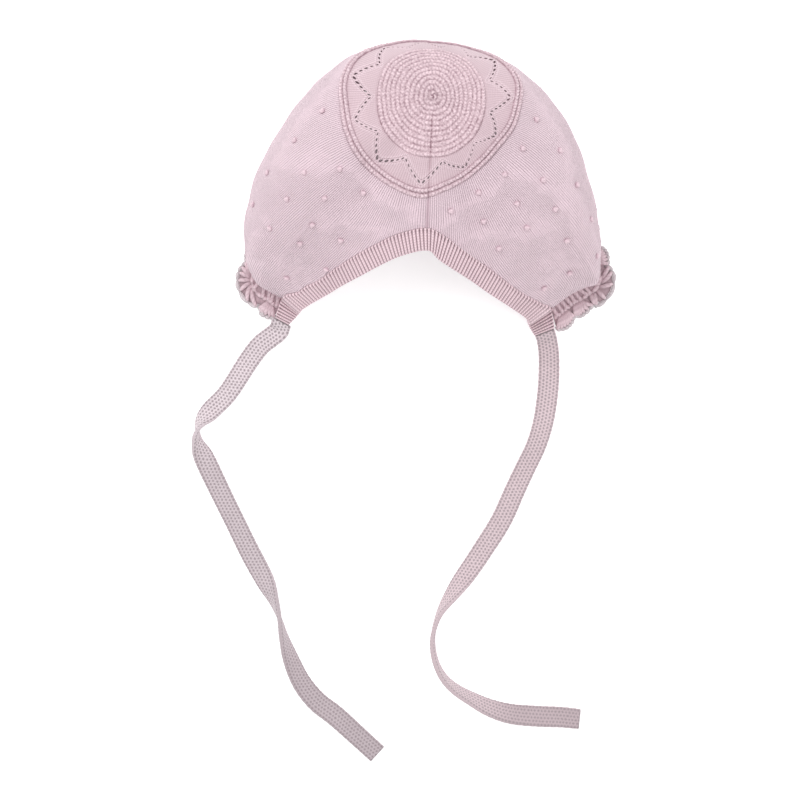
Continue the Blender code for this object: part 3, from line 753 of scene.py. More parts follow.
def panel_yarn(light, groove_shade):
    """Stockinette with 1, 1.5, 2, 3, 4 ... times the wales where the map is stretched."""
    yarn = Yarn("panel_yarn_knit")
    u, v = yarn.stitch_axes()
    drift = yarn.sum("SUBTRACT", yarn.noise(140.0, 2.0), 0.5)
    u = yarn.sum("ADD", u, yarn.sum("MULTIPLY", drift, 0.5))
    stretch = yarn.node("ShaderNodeAttribute", attribute_name="spread").outputs["Fac"]
    stretch = yarn.sum("ADD", stretch, yarn.sum("MULTIPLY", drift, 0.3))
    step = yarn.sum("MAXIMUM", yarn.sum("MULTIPLY", stretch, 2.0), 0.0)
    whole = yarn.sum("FLOOR", step)

    def wales(number):
        """Stitches with the wales of a half octave: 2^floor(n / 2), half as many again if odd."""
        octave = yarn.sum("FLOOR", yarn.sum("MULTIPLY", number, 0.5))
        odd = yarn.sum("SUBTRACT", number, yarn.sum("MULTIPLY", octave, 2.0))
        times = yarn.sum("POWER", 2.0, octave)
        times = yarn.sum("MULTIPLY", times, yarn.sum("MULTIPLY_ADD", odd, 0.5, 1.0))
        return stockinette_height(yarn, yarn.sum("MULTIPLY", u, times), v)

    ease = yarn.node("ShaderNodeMapRange", {
        0: yarn.sum("SUBTRACT", step, whole), 1: 0.35, 2: 0.65, 3: 0.0, 4: 1.0,
    })
    wide = wales(whole)
    grown = yarn.sum("SUBTRACT", wales(yarn.sum("ADD", whole, 1.0)), wide)
    height = yarn.sum("MULTIPLY_ADD", grown, ease.outputs[0], wide)
    height = yarn.sum("MULTIPLY", height, yarn.relief())
    return yarn.finish(height, light, groove_shade, PANEL_BUMP)


def purl_yarn(name, light, groove_shade, depth):
    """Raised purl bumps, which are in the mesh, under the yarn's fine plies."""
    yarn = Yarn(name)
    u, v = yarn.stitch_axes()
    plies = yarn.off_middle(yarn.sum("ADD", yarn.sum("MULTIPLY", u, 2.0), yarn.sum("MULTIPLY", v, 2.0)))
    grain = yarn.sum("SUBTRACT", yarn.noise(950.0, 1.0), 0.5)
    height = yarn.sum("MULTIPLY_ADD", grain, 1.1, yarn.relief())
    height = yarn.sum("MULTIPLY_ADD", plies, -0.2, height)
    return yarn.finish(height, light, groove_shade, depth)


def rib_yarn(name, light, groove_shade, depth):
    """Ribs from the mesh, with small V stitches along each rib."""
    yarn = Yarn(name)
    u, v = yarn.stitch_axes()
    off = yarn.off_middle(u)
    part = yarn.off_middle(yarn.sum("MULTIPLY_ADD", off, 0.5, v))
    loops = yarn.sum("MULTIPLY_ADD", yarn.sum("POWER", part, 2.0), -0.35, 1.0)
    height = yarn.sum("MULTIPLY", yarn.relief(), loops)
    return yarn.finish(height, light, groove_shade, depth)


def tie_yarn(name, light, groove_shade, depth):
    """Tight lengthwise wales with a staggered lattice of small gaps between stitches."""
    yarn = Yarn(name)
    u, v = yarn.stitch_axes()
    shift = yarn.sum("MULTIPLY", yarn.sum("PINGPONG", yarn.sum("FLOOR", u), 1.0), 0.5)
    across = yarn.off_middle(u)
    shift = yarn.sum("MULTIPLY_ADD", yarn.noise(420.0, 1.0), 0.7, shift)
    along = yarn.off_middle(yarn.sum("ADD", v, shift))
    squares = yarn.sum("ADD", yarn.sum("POWER", across, 2.0), yarn.sum("POWER", along, 2.0))
    gap = yarn.node("ShaderNodeMapRange", {0: squares, 1: 0.06, 2: 0.75, 3: 0.0, 4: 1.0})
    wale = yarn.off_middle(yarn.sum("MULTIPLY", u, 2.0))
    height = yarn.sum("MULTIPLY_ADD", yarn.sum("POWER", wale, 2.0), -0.25, 1.0)
    height = yarn.sum("MULTIPLY", height, yarn.sum("MULTIPLY_ADD", gap.outputs[0], 0.9, 0.1))
    height = yarn.sum("MULTIPLY", height, yarn.relief())
    return yarn.finish(height, light, groove_shade, depth)


def crochet_yarn(name, light, groove_shade, depth):
    """Plied yarn: slanting strands round each tube."""
    yarn = Yarn(name)
    u, v = yarn.stitch_axes()
    strand = yarn.off_middle(yarn.sum("ADD", yarn.sum("MULTIPLY", u, 2.0), yarn.sum("MULTIPLY", v, 0.45)))
    height = yarn.sum("MULTIPLY_ADD", yarn.sum("POWER", strand, 2.0), -0.3, 1.0)
    height = yarn.sum("MULTIPLY", height, yarn.relief())
    return yarn.finish(height, light, groove_shade, depth)


# Zones of the cap


def seam_groove(off_seam, width):
    """The sewn back seam: 1 in its groove, and -0.35 on the two lips beside it."""
    return bump(off_seam, width) - 0.35 * bump(np.abs(off_seam) - 2.2 * width, width)


def seam_offset(direction, distance):
    """How far a point lies beside the back seam, from its direction and distance."""
    turn = (np.asarray(direction) - SEAM_DIRECTION + 180) % 360 - 180
    return np.radians(turn) * distance


def uneven_stitches(number, row):
    """A height of 0.62 to 1 for each stitch, from the fraction of a large sine."""
    mixed = np.sin(number * 12.9898 + row * 78.233) * 43758.5453
    return 0.62 + 0.38 * (mixed - np.floor(mixed))


def map_grid(u, v):
    """A stitch map from its two axes, broadcast against each other."""
    return np.stack(np.broadcast_arrays(u, v), axis=-1).astype(float)


def knit_disc(sizes, colours):
    """Garter rings: a rounded ridge for each ring, |sin|, broken into leaning purl bumps."""
    columns = 680
    rings = round(DISC_RADIUS / sizes.garter_pitch)
    top_rows = rings * 7 + 1
    across = np.concatenate([np.linspace(0.0006, DISC_RADIUS, top_rows), [DISC_RADIUS + 0.0002] * 2])
    angle = SEAM_DIRECTION + np.arange(columns) * 360 / columns
    turn = np.radians(angle - SEAM_DIRECTION)[None, :]
    wavy = across[:, None] + 0.00022 * np.sin(3 * turn + across[:, None] * 190)
    wavy = wavy + 0.00010 * np.sin(11 * turn - across[:, None] * 400)
    place = np.clip(wavy / DISC_RADIUS * rings, 0, rings - 0.001)
    ring = np.floor(place)
    inside = place - ring
    middle = (ring + 0.5) / rings * DISC_RADIUS
    beads = np.maximum(np.round(2 * math.pi * middle / sizes.bead_pitch), 3)
    ridge = np.sin(inside * math.pi) ** 0.6
    uneven = 0.30 * np.sin(5 * turn + 2.1 * ring) + 0.22 * np.sin(17 * turn - 1.3 * ring)
    lean = ring * 0.5 + (0.5 - np.abs(inside - 0.5)) * np.where(ring % 2, 1, -1)
    phase = beads * turn / 2 / math.pi + lean + uneven / math.pi
    bead = np.abs(np.sin(phase * math.pi)) ** 1.1
    tall = uneven_stitches(np.floor(phase), ring)
    relief = 0.25 + ridge * (0.33 + 0.42 * bead * tall)
    off_seam = seam_offset(angle[None, :], across[:, None])
    seam = seam_groove(off_seam, 0.00034) * step_between(0.008, 0.012, across)[:, None]
    knot = bump(across, 0.0016)[:, None]
    lumps = 0.5 + 0.5 * np.cos(3 * turn + across[:, None] * 2600)
    lift = sizes.garter_relief * (relief - 0.55) - 0.0003 * seam + 0.0005 * knot * (0.5 + 0.5 * lumps)
    relief = np.clip(relief * (1 - knot) + knot * lumps - 0.4 * np.clip(seam, 0, 1), 0, 1)
    lift[-2:] = np.array([-0.0005, -DISC_WALL + 0.0002])[:, None]
    relief[-2:] = 0.6
    top = medallion(angle[None, :], across[:, None] + np.zeros_like(lift), lift)
    skein = Skein()
    end = np.append(angle, angle[0] + 360)
    u = (end - SEAM_DIRECTION)[None, :] / 360 * 96
    first = skein.grid(top, map_grid(u, (across / sizes.bead_pitch)[:, None]), relief)
    centre = medallion(np.array([0.0]), np.array([0.0]), np.array([0.0003]))[0]
    skein.cap(first, columns, centre, flip=False, relief=0.2)
    back = np.array([1.0, 0.75, 0.5, 0.25, 0.05]) * DISC_RADIUS
    under = medallion(angle[None, :], back[:, None] + np.zeros((1, columns)), -DISC_WALL)
    first = skein.grid(under, map_grid(u, (back / sizes.bead_pitch)[:, None]), 0.45)
    skein.cap(first + 4 * columns, columns, under[-1].mean(axis=0), flip=True, relief=0.4)
    material = purl_yarn("disc_yarn_knit", colours.disc_light, colours.disc_groove_shade, PURL_BUMP)
    piece = skein.make("crown_disc_knit", material)
    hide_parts("crown_disc")


def eyelet_zigzag(place):
    """The lace's borders and its zigzag, a triangle wave between them, at places in cells."""
    inner = DISC_RADIUS + GAP
    outer = DISC_RADIUS + LACE_WIDTH - GAP
    low = inner + EYELET_INNER_MARGIN + EYELET_PITCH / 2
    high = outer - EYELET_OUTER_MARGIN - EYELET_PITCH / 2
    turn = np.asarray(place) / (EYELETS_PER_LEG * 2) * 2 * math.pi
    share = 0.5 + np.arcsin(np.cos(turn) * 0.995) / math.pi
    return inner, outer, low + (high - low) * share, share


def knit_lace(sizes, colours):
    """A wall pierced by 110 holes: each cell's square border shrinks to an oval hole."""
    cells = LACE_POINTS * EYELETS_PER_LEG * 2
    fine = 4
    columns = cells * fine
    place = np.arange(columns + 1) / fine
    inner, outer, middle, _ = eyelet_zigzag(place)
    direction = LACE_PHASE + place * 360 / cells
    half = 0.00126
    skein = Skein()

    def strip(near, far, border):
        """A plain strip between two lines, with a raised line of decreases beside the holes."""
        t = np.linspace(0, 1, 15)[:, None]
        distance = near + (far - near) * t
        beside = np.abs(distance - border)
        lift = -LACE_SINK + 0.0002 * bump(beside - 0.0007, 0.0005)
        lift = lift - 0.0004 * step_between(0.0006, 0.0, np.abs(distance - inner))
        seam = seam_groove(seam_offset(direction[None, :], distance), 0.00045)
        lift = lift - 0.0003 * seam
        points = medallion(direction[None, :-1], distance[:, :-1], lift[:, :-1])
        relief = 0.82 + 0.18 * bump(beside - 0.0007, 0.0006) - 0.35 * np.clip(seam, 0, 1)
        stitch = map_grid(place[None, :] * 1.9, (distance - inner) / sizes.course_pitch)
        skein.grid(points, stitch, np.clip(relief[:, :-1], 0, 1))

    below = (middle - half)[None, :]
    above = (middle + half)[None, :]
    strip(np.full((1, columns + 1), inner - 0.0006), below, below)
    strip(above, np.full((1, columns + 1), outer + 0.0008), above)
    side = np.linspace(-1, 1, fine + 1)[:-1]
    one = np.ones(fine)
    square = np.concatenate([
        np.stack([side, -one], axis=1), np.stack([one, side], axis=1),
        np.stack([-side, one], axis=1), np.stack([-one, -side], axis=1),
    ])
    angle = np.arctan2(square[:, 1], square[:, 0])
    cell = np.arange(cells)[:, None] + 0.5
    _, _, _, reach = eyelet_zigzag(cell)
    open_share = uneven_stitches(cell, 3) * (0.72 + 0.28 * np.sin(cell * 0.37 + 0.6))
    slit_wide = (0.52 + 0.18 * reach**2) * np.cos(angle)[None, :] * open_share**0.3
    slit_tall = (0.46 + 0.50 * reach**2) * np.sin(angle)[None, :] * open_share
    rings = []
    reliefs = []
    for share, rise in ((0.0, 0.0), (0.4, 0.0001), (0.8, 0.00008), (1.0, -0.0003)):
        wide = square[None, :, 0] * (1 - share) + slit_wide * share
        tall = square[None, :, 1] * (1 - share) + slit_tall * share
        along = cell + wide / 2
        distance = eyelet_zigzag(along)[2] + tall * half
        ahead = LACE_PHASE + along * 360 / cells
        rings.append(medallion(ahead, distance, -LACE_SINK + rise + np.zeros_like(distance)))
        # Painted shade: the ring at each hole's edge gets relief 0, the groove shade colour, so the holes
        # look darker round their rims.
        reliefs.append(np.full(distance.shape, 0.85 if share < 1 else 0.0))
    stack = np.stack(rings, axis=1)
    loop = len(square)
    first = skein.add_points(stack, np.stack(reliefs, axis=1))
    n = np.arange(cells)[:, None, None] * len(rings) * loop
    i = np.arange(len(rings) - 1)[None, :, None]
    j = np.arange(loop)[None, None, :]
    after = (j + 1) % loop
    corners = (i * loop + j, (i + 1) * loop + j, (i + 1) * loop + after, i * loop + after)
    skein.quads.append((first + n[..., None] + np.stack(corners, axis=-1)).reshape(-1, 4))
    skein.quad_maps.append(np.zeros((cells * (len(rings) - 1) * loop, 4, 2)) + 0.5)
    yarn = Yarn("lace_yarn_knit")
    stitches = yarn.sum("MULTIPLY_ADD", stockinette_height(yarn), 0.55, 0.45)
    height = yarn.sum("MULTIPLY", yarn.relief(), stitches)
    material = yarn.finish(height, colours.lace_light, colours.lace_groove_shade, KNIT_BUMP)
    piece = skein.make("lace_ring_knit", material)
    weld = piece.modifiers.new("weld", "WELD")
    weld.merge_threshold = 0.00001
    wall = piece.modifiers.new("wall", "SOLIDIFY")
    wall.thickness = LACE_WALL - LACE_SINK
    wall.offset = -1
    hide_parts("lace_ring")


def knit_ridge_ring(sizes, colours):
    """Two raised purl ridges: |sin| across the ring, broken into leaning bumps round it."""
    inner = DISC_RADIUS + LACE_WIDTH
    width = RIDGE_RING_WIDTH - GAP
    beads = round(2 * math.pi * (inner + width / 2) / sizes.bead_pitch)
    columns = beads * 6
    angle = SEAM_DIRECTION + np.arange(columns + 1) * 360 / columns
    across = np.concatenate([[0.0], np.linspace(0.0, 1.0, 23), [1.0, 0.9, 0.5, 0.1]])
    turn = np.radians(angle - SEAM_DIRECTION)[None, :]
    second = (across > 0.5).astype(float)[:, None]
    inside = ((across * 2) % 1.0)[:, None]
    inside = np.where(across[:, None] >= 1.0, 1.0, inside)
    ridge = np.clip(np.sin(inside * math.pi), 0, 1) ** 0.6
    uneven = 0.28 * np.sin(7 * turn + 2 * second) + 0.2 * np.sin(29 * turn - second)
    lean = second * 0.5 + (0.5 - np.abs(inside - 0.5)) * (1 - 2 * second)
    phase = beads * turn / 2 / math.pi + lean + uneven / math.pi
    bead = np.abs(np.sin(phase * math.pi)) ** 1.1
    tall = uneven_stitches(np.floor(phase), second)
    relief = 0.2 + ridge * (0.36 + 0.44 * bead * tall)
    distance = inner + width * across[:, None] + np.zeros_like(relief)
    seam = seam_groove(seam_offset(angle[None, :], distance), 0.0004)
    lift = -0.0003 + sizes.ring_relief * relief - 0.0004 * seam
    relief = relief - 0.4 * np.clip(seam, 0, 1)
    lift[0] = -0.0006
    lift[24] = -PANEL_WALL * 0.6
    lift[25:] = -PANEL_WALL
    relief[24:] = 0.7
    relief[0] = 0.6
    points = medallion(angle[None, :-1], distance[:, :-1], lift[:, :-1])
    across_map = np.concatenate([np.arange(len(across)), [len(across)]]) / 7.0
    stitch = map_grid(turn / 2 / math.pi * beads, across_map[:, None])
    skein = Skein()
    skein.grid(points, stitch, np.clip(relief[:, :-1], 0, 1), ring=True)
    material = purl_yarn("ridge_yarn_knit", colours.ridge_light, colours.ridge_groove_shade, PURL_BUMP)
    piece = skein.make("ridge_ring_knit", material)
    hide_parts("ridge_ring")


def face_edge(direction):
    """The panel's face edge."""
    return skin(direction, 2.0)


def bobble_places():
    """The bobbles' plan places in metres, and the skin's direction and share there."""
    across = table_column(BOBBLES, BOBBLE_COLUMNS, "across") * CAP_REACH
    down = table_column(BOBBLES, BOBBLE_COLUMNS, "down") * CAP_REACH
    plan = np.stack([across, -down], axis=1)
    direction, radius = polar(plan)
    return plan, direction, share_at_radius(direction, radius)


def map_stretch(points, wales):
    """Metres between wales on the surface, from the metric of its grid of points."""
    down = np.gradient(points, axis=0)
    beside = np.gradient(points, axis=1)
    along_rows = np.gradient(wales, axis=0)
    along_columns = np.gradient(wales, axis=1)
    e = (down * down).sum(axis=-1)
    f = (down * beside).sum(axis=-1)
    g = (beside * beside).sum(axis=-1)
    steep = g * along_rows**2 - 2 * f * along_rows * along_columns + e * along_columns**2
    return 1 / np.sqrt(np.clip(steep / np.clip(e * g - f * f, 1e-18, None), 1.0, None))


def relax(field, fixed, points, rounds):
    """Evens a field out over a grid like a soap film, except where it is fixed.

    Each round sets a point to the mean of its four neighbours, weighed by width over
    length. Once round the grid the field has risen by one.
    """
    field = field.copy()
    down = np.linalg.norm(np.diff(points, axis=0), axis=2)
    right = np.linalg.norm(np.roll(points, -1, axis=1) - points, axis=2)
    width = (right + np.roll(right, 1, axis=1)) / 2
    fall = (width[1:] + width[:-1]) / 2 / down
    turn = (down[1:] + down[:-1]) / 2 / right[1:-1]
    back = np.roll(turn, 1, axis=1)
    total = fall[:-1] + fall[1:] + turn + back
    held = fixed[1:-1]
    for _ in range(rounds):
        ahead = np.concatenate([field[:, 1:], field[:, :1] + 1], axis=1)[1:-1]
        behind = np.concatenate([field[:, -1:] - 1, field[:, :-1]], axis=1)[1:-1]
        level = fall[:-1] * field[:-2] + fall[1:] * field[2:]
        level = (level + turn * ahead + back * behind) / total
        field[1:-1] = np.where(held, field[1:-1], level)
    return field


def panel_begin(direction):
    """The share at which the panel begins, just under the raised ring."""
    ring = medallion_distance(direction, DISC_RADIUS + LACE_WIDTH + RIDGE_RING_WIDTH - 0.0005)
    return share_at_distance(direction, ring)


def wale_field(sizes):
    """Where the wales run, 0 to 1 round the panel from the back seam, on an even grid.

    It is even round the ring and along the face edge. BAND_WALES of them end at each
    half of the neck band, most of them near its peak.
    """
    columns = 360
    rows = 60
    direction = SEAM_DIRECTION - 360 + np.arange(columns)
    begin = panel_begin(direction)
    share = begin + (2 - begin) * np.linspace(0, 1, rows)[:, None]
    points = bare_skin(direction[None, :], share)
    ended = BAND_WALES / sizes.panel_wales
    places = np.linspace(CORNER_LEFT_ROW, CORNER_RIGHT_ROW, 400)
    join, _ = neck_line(places)
    neck_direction, neck_radius = polar(join)
    neck_end = share_at_radius(neck_direction, neck_radius)
    length = np.concatenate([[0], np.cumsum(np.linalg.norm(np.diff(join, axis=0), axis=1))])
    from_peak = length - np.interp(SEAM_DIRECTION, neck_direction, length)
    neck = ended * np.sign(from_peak) * (1 - np.exp(-np.abs(from_peak) / BAND_WALES_REACH))
    after_seam = direction + 360
    right = after_seam < neck_direction[-1]
    left = direction > neck_direction[0]
    around = np.where(right, after_seam, direction)
    on_neck = right | left
    edge_share = np.where(on_neck, np.interp(around, neck_direction, neck_end), 3.0)
    edge_field = np.interp(around, neck_direction, neck) + left
    face = np.flatnonzero(~on_neck)
    face_points = face_edge(direction[face])
    face_steps = np.linalg.norm(np.diff(face_points, axis=0), axis=1)
    face_share = np.concatenate([[0], np.cumsum(face_steps)]) / face_steps.sum()
    edge_field[face] = ended + (1 - 2 * ended) * face_share
    fixed = share >= edge_share
    fixed[0] = True
    fixed[-1] = True
    ring_share = np.arange(columns) / columns
    mix = np.clip((share - begin) / (np.minimum(edge_share, 2) - begin), 0, 1)
    field = ring_share * (1 - mix) + edge_field * mix
    field[0] = ring_share
    return relax(field, fixed, points, 3500)


def wales_at(field, direction, share):
    """The wale field between its grid points."""
    begin = panel_begin(direction)
    row = np.clip((share - begin) / (2 - begin), 0, 1) * (len(field) - 1)
    turn = direction - SEAM_DIRECTION + 360 + np.zeros_like(row)
    whole = np.floor(turn / 360)
    column = turn - whole * 360
    wide = np.concatenate([field, field[:, :1] + 1], axis=1)
    i = np.clip(row.astype(int), 0, len(field) - 2)
    j = np.clip(column.astype(int), 0, 359)
    s = row - i
    t = column - j
    near = wide[i, j] * (1 - t) + wide[i, j + 1] * t
    far = wide[i + 1, j] * (1 - t) + wide[i + 1, j + 1] * t
    return near * (1 - s) + far * s + whole


def knit_panel(sizes, colours):
    """The skin from the medallion to the face edge and the neck, with soft puckers.

    The wales start evenly round the medallion and end evenly along the face edge, so
    they bend away from the seam and run beside the neck band. Where they spread, new
    wales start between them.
    """
    places, _ = even_places(lambda at: neck_line(at)[0], CORNER_LEFT_ROW, CORNER_RIGHT_ROW, 150)
    join, _ = neck_line(places)
    neck_direction, neck_radius = polar(join)
    neck_end = share_at_radius(neck_direction, neck_radius)
    step = 0.4
    start = neck_direction[-1] + step - 360
    even_turn = np.linspace(start, neck_direction[0] - step, 330)
    even_length, _ = even_places(face_edge, start, neck_direction[0] - step, 330)
    face_direction = (even_turn + even_length) / 2
    direction = np.concatenate([face_direction, neck_direction, [neck_direction[-1] + step]])
    begins = panel_begin(direction)
    corner = np.interp(face_direction, (start, start + 25), (neck_end[-1], 1.0))
    corner = np.minimum(corner, np.interp(
        face_direction, (neck_direction[0] - 25, neck_direction[0]), (1.0, neck_end[0])
    ))
    ends = np.concatenate([corner, neck_end, corner[:1]])
    last = np.concatenate([np.full(len(face_direction), 2.0), neck_end, [2.0]])
    split = 0.72
    outer = np.concatenate([np.linspace(0, 0.99, 124), [1.0, 1.0]])
    inner = np.linspace(1.0, 0.0, 26)
    t = np.concatenate([outer, inner])[:, None]
    above = np.clip(t / split, 0, 1)
    below = np.clip((t - split) / (1 - split), 0, 1)
    share = begins + (ends - begins) * above * 0.985
    share = share + (last - (begins + (ends - begins) * 0.985)) * below
    rim = np.zeros(len(outer))
    rim[-2:] = (-0.0002, -PANEL_WALL * 0.6)
    lift = np.concatenate([rim, np.full(len(inner), -PANEL_WALL)])[:, None] + np.zeros_like(share)
    bare = bare_skin(direction[None, :], share)
    plan, _, _ = bobble_places()
    pucker = np.zeros(share.shape)
    for spot in plan:
        away = np.hypot(bare[..., 0] - spot[0], bare[..., 1] - spot[1])
        pucker += bump(away, 0.0042)
    wave = np.sin(bare[..., 0] * 240 + 1.3) * np.sin(bare[..., 1] * 210 + bare[..., 2] * 160)
    free = step_between(0.0, 0.12, t) * step_between(1.0, 0.94, t)
    off_seam = seam_offset(direction[None, :], np.hypot(bare[..., 0], bare[..., 1]))
    seam = seam_groove(off_seam, 0.0005)
    lift += (-0.0005 * pucker + 0.0003 * wave) * free - 0.0004 * seam * (lift > -0.0005)
    lift[0] -= 0.0005
    points = skin(direction[None, :], share, lift)
    steps = np.linalg.norm(np.diff(bare, axis=0), axis=2)
    length = np.concatenate([np.zeros((1, len(direction))), np.cumsum(steps, axis=0)])
    wales = sizes.panel_wales * wales_at(wale_field(sizes), direction[None, :], share)
    stretch = np.log2(map_stretch(bare, wales) / sizes.wale_pitch)
    stretch = np.clip(stretch, 0.0, 3.0)
    near = (0, -1)
    stretch[:, near] = stretch[:, (1, -2)]
    top = len(outer) - 1
    stretch[top - 1:top + 3] = stretch[top - 2]
    stitch = np.stack([wales, length / sizes.course_pitch], axis=-1)
    stitch = np.concatenate([stitch, stitch[-1:]])
    relief = 1 - 0.8 * np.clip(seam, 0, 1) * (t < 1)
    skein = Skein()
    skein.grid(points[:, :-1], stitch, relief[:, :-1], ring=True)
    skein.spread.append(stretch[:, :-1].reshape(-1))
    material = panel_yarn(colours.panel_light, colours.panel_groove_shade)
    piece = skein.make("side_panel_knit", material)
    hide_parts("side_panel")


def knit_bobbles(sizes, colours):
    """Small knots of yarn, half sunk in the panel.

    Knot n is a sphere whose radius is uneven: 1 + 0.13 cos(3a + n) sin(2b + 0.7n).
    """
    _, direction, share = bobble_places()
    base = skin(direction, share, -0.0004)
    top = skin(direction, share, 0.0010)
    out = unit(top - base)
    middle = skin(direction, share, 0.00055 - 0.0006)
    aside = unit(np.cross(out, Y))
    ahead = np.cross(out, aside)
    rows = 9
    columns = 14
    polar_angle = np.linspace(0, math.pi, rows + 2)[1:-1][:, None]
    azimuth = (np.arange(columns) / columns * 2 * math.pi)[None, :]
    knots = np.arange(len(middle))[:, None, None]
    lumps = 1 + 0.13 * np.cos(3 * azimuth + knots) * np.sin(2 * polar_angle + knots * 0.7)
    size = sizes.bobble_size / 2 * lumps
    level = (size * np.sin(polar_angle))[..., None]
    tall = (size * 0.8 * np.cos(polar_angle))[..., None]
    ring_x = aside[:, None, None, :] * np.cos(azimuth)[None, :, :, None]
    ring_y = ahead[:, None, None, :] * np.sin(azimuth)[None, :, :, None]
    points = middle[:, None, None, :] + level * (ring_x + ring_y) + tall * out[:, None, None, :]
    skein = Skein()
    stitch = map_grid(
        np.arange(columns + 1)[None, :] / columns, np.arange(rows)[:, None] / rows * 5.0
    )
    for knot, shape in enumerate(points):
        # Painted shade: each bobble's colour is lighter on top and on its lumps and darker underneath,
        # lightest at its top pole and darkest at its lower one.
        relief = np.clip(0.35 + 0.65 * np.cos(polar_angle) + 0.12 * (lumps[knot] - 1) * 7, 0, 1)
        first = skein.grid(shape, stitch, relief)
        skein.cap(first, columns, shape[0].mean(axis=0) + out[knot] * 0.00008, flip=False, relief=1.0)
        last = first + (rows - 1) * columns
        skein.cap(last, columns, shape[-1].mean(axis=0), flip=True, relief=0.3)
    material = crochet_yarn("bobble_yarn", colours.bobble_light, colours.bobble_gap_shade, CROCHET_BUMP)
    piece = skein.make("panel_bobbles", material)


def band_frame(count):
    """The band's stations: join, free edge, and the directions along, across and outward.

    They are even along the middle of the band, seen from above, but closer together
    towards its ends.
    """
    last = len(NECK) - 1
    even, length = even_places(lambda at: sum(neck_line(at))[:, :2] / 2, 0, last, 801)
    share = np.linspace(-1, 1, 801)
    crowd = 1 + 0.22 * np.abs(share) ** 3
    told = np.cumsum(crowd) / crowd.sum()
    places = np.interp(np.linspace(told[0], 1, count), told, even)
    join, edge = neck_line(places)
    along = unit(np.gradient(join + edge, axis=0))
    across = unit(edge - join)
    outward = unit(np.cross(across, along))
    outward *= np.sign(outward[:, 2:3])
    return join, edge, along, across, outward, length


def knit_band(sizes, colours):
    """A doubled ribbed hem: a rounded flat loop carried along the neck, raised at each rib."""
    length = band_frame(2)[-1]
    ribs = round(length / sizes.rib_pitch)
    count = ribs * 8 + 1
    join, edge, _, across, outward, _ = band_frame(count)
    half = (BAND_RISE + BAND_DEPTH) / 2
    hem = np.linspace(math.pi / 2, -math.pi / 2, 9)
    back = np.linspace(-math.pi / 2, -3 * math.pi / 2, 7)
    x = np.concatenate([
        np.linspace(0.08, 0.88, 17), 0.89 + 0.11 * np.cos(hem[1:-1]),
        np.linspace(0.88, 0.08, 9), 0.07 + 0.07 * np.cos(back[1:-1]),
    ])
    y = np.concatenate([np.ones(17), np.sin(hem[1:-1]), -np.ones(9), np.sin(back[1:-1])])
    phase = np.arange(count) / 8
    rib = np.abs(np.sin(phase * math.pi)) ** 0.5
    shown = np.clip((y + 1) / 2, 0, 1)[:, None]
    ends = np.minimum(phase, ribs - phase)
    ends = step_between(0, 1.0, ends)[None, :]
    # The relief dips in the furrows between ribs and in the small hole at the top of each furrow, which
    # lift also cuts into the mesh; through the groove colour this is painted shade, mostly on the shown
    # face.
    relief = 1 - (1 - rib[None, :]) * (0.25 + 0.75 * shown)
    puff = 1 + 0.18 * np.sin(np.clip(x, 0, 1) * math.pi)[:, None]
    lift = sizes.rib_relief * (rib[None, :] - 0.75) * shown * puff
    hole = bump(x - 0.10, 0.07)[:, None] * (1 - rib[None, :]) * shown
    relief = np.clip(relief - 0.8 * hole, 0, 1)
    lift = lift - 0.0006 * hole
    start = join + across * 0.0001
    reach = edge - start
    level = outward * (BAND_RISE - BAND_DEPTH) / 2
    thick = (half * y)[:, None] * (0.55 + 0.45 * ends) + lift
    points = start[None] + reach[None] * x[:, None, None] + level[None] + outward[None] * thick[..., None]
    around = np.concatenate([x, x[:1]])
    width = np.linalg.norm(reach, axis=1).mean()
    stitch = map_grid(phase[None, :], (around * width / 0.0013)[:, None])
    skein = Skein()
    first = skein.grid(points, stitch, relief, ring=True, wrap=False)
    material = rib_yarn("band_yarn_knit", colours.band_light, colours.band_furrow_shade, KNIT_BUMP)
    skein.close_ends(first, points, 0.5)
    piece = skein.make("neck_band_knit", material)
    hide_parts("neck_band")


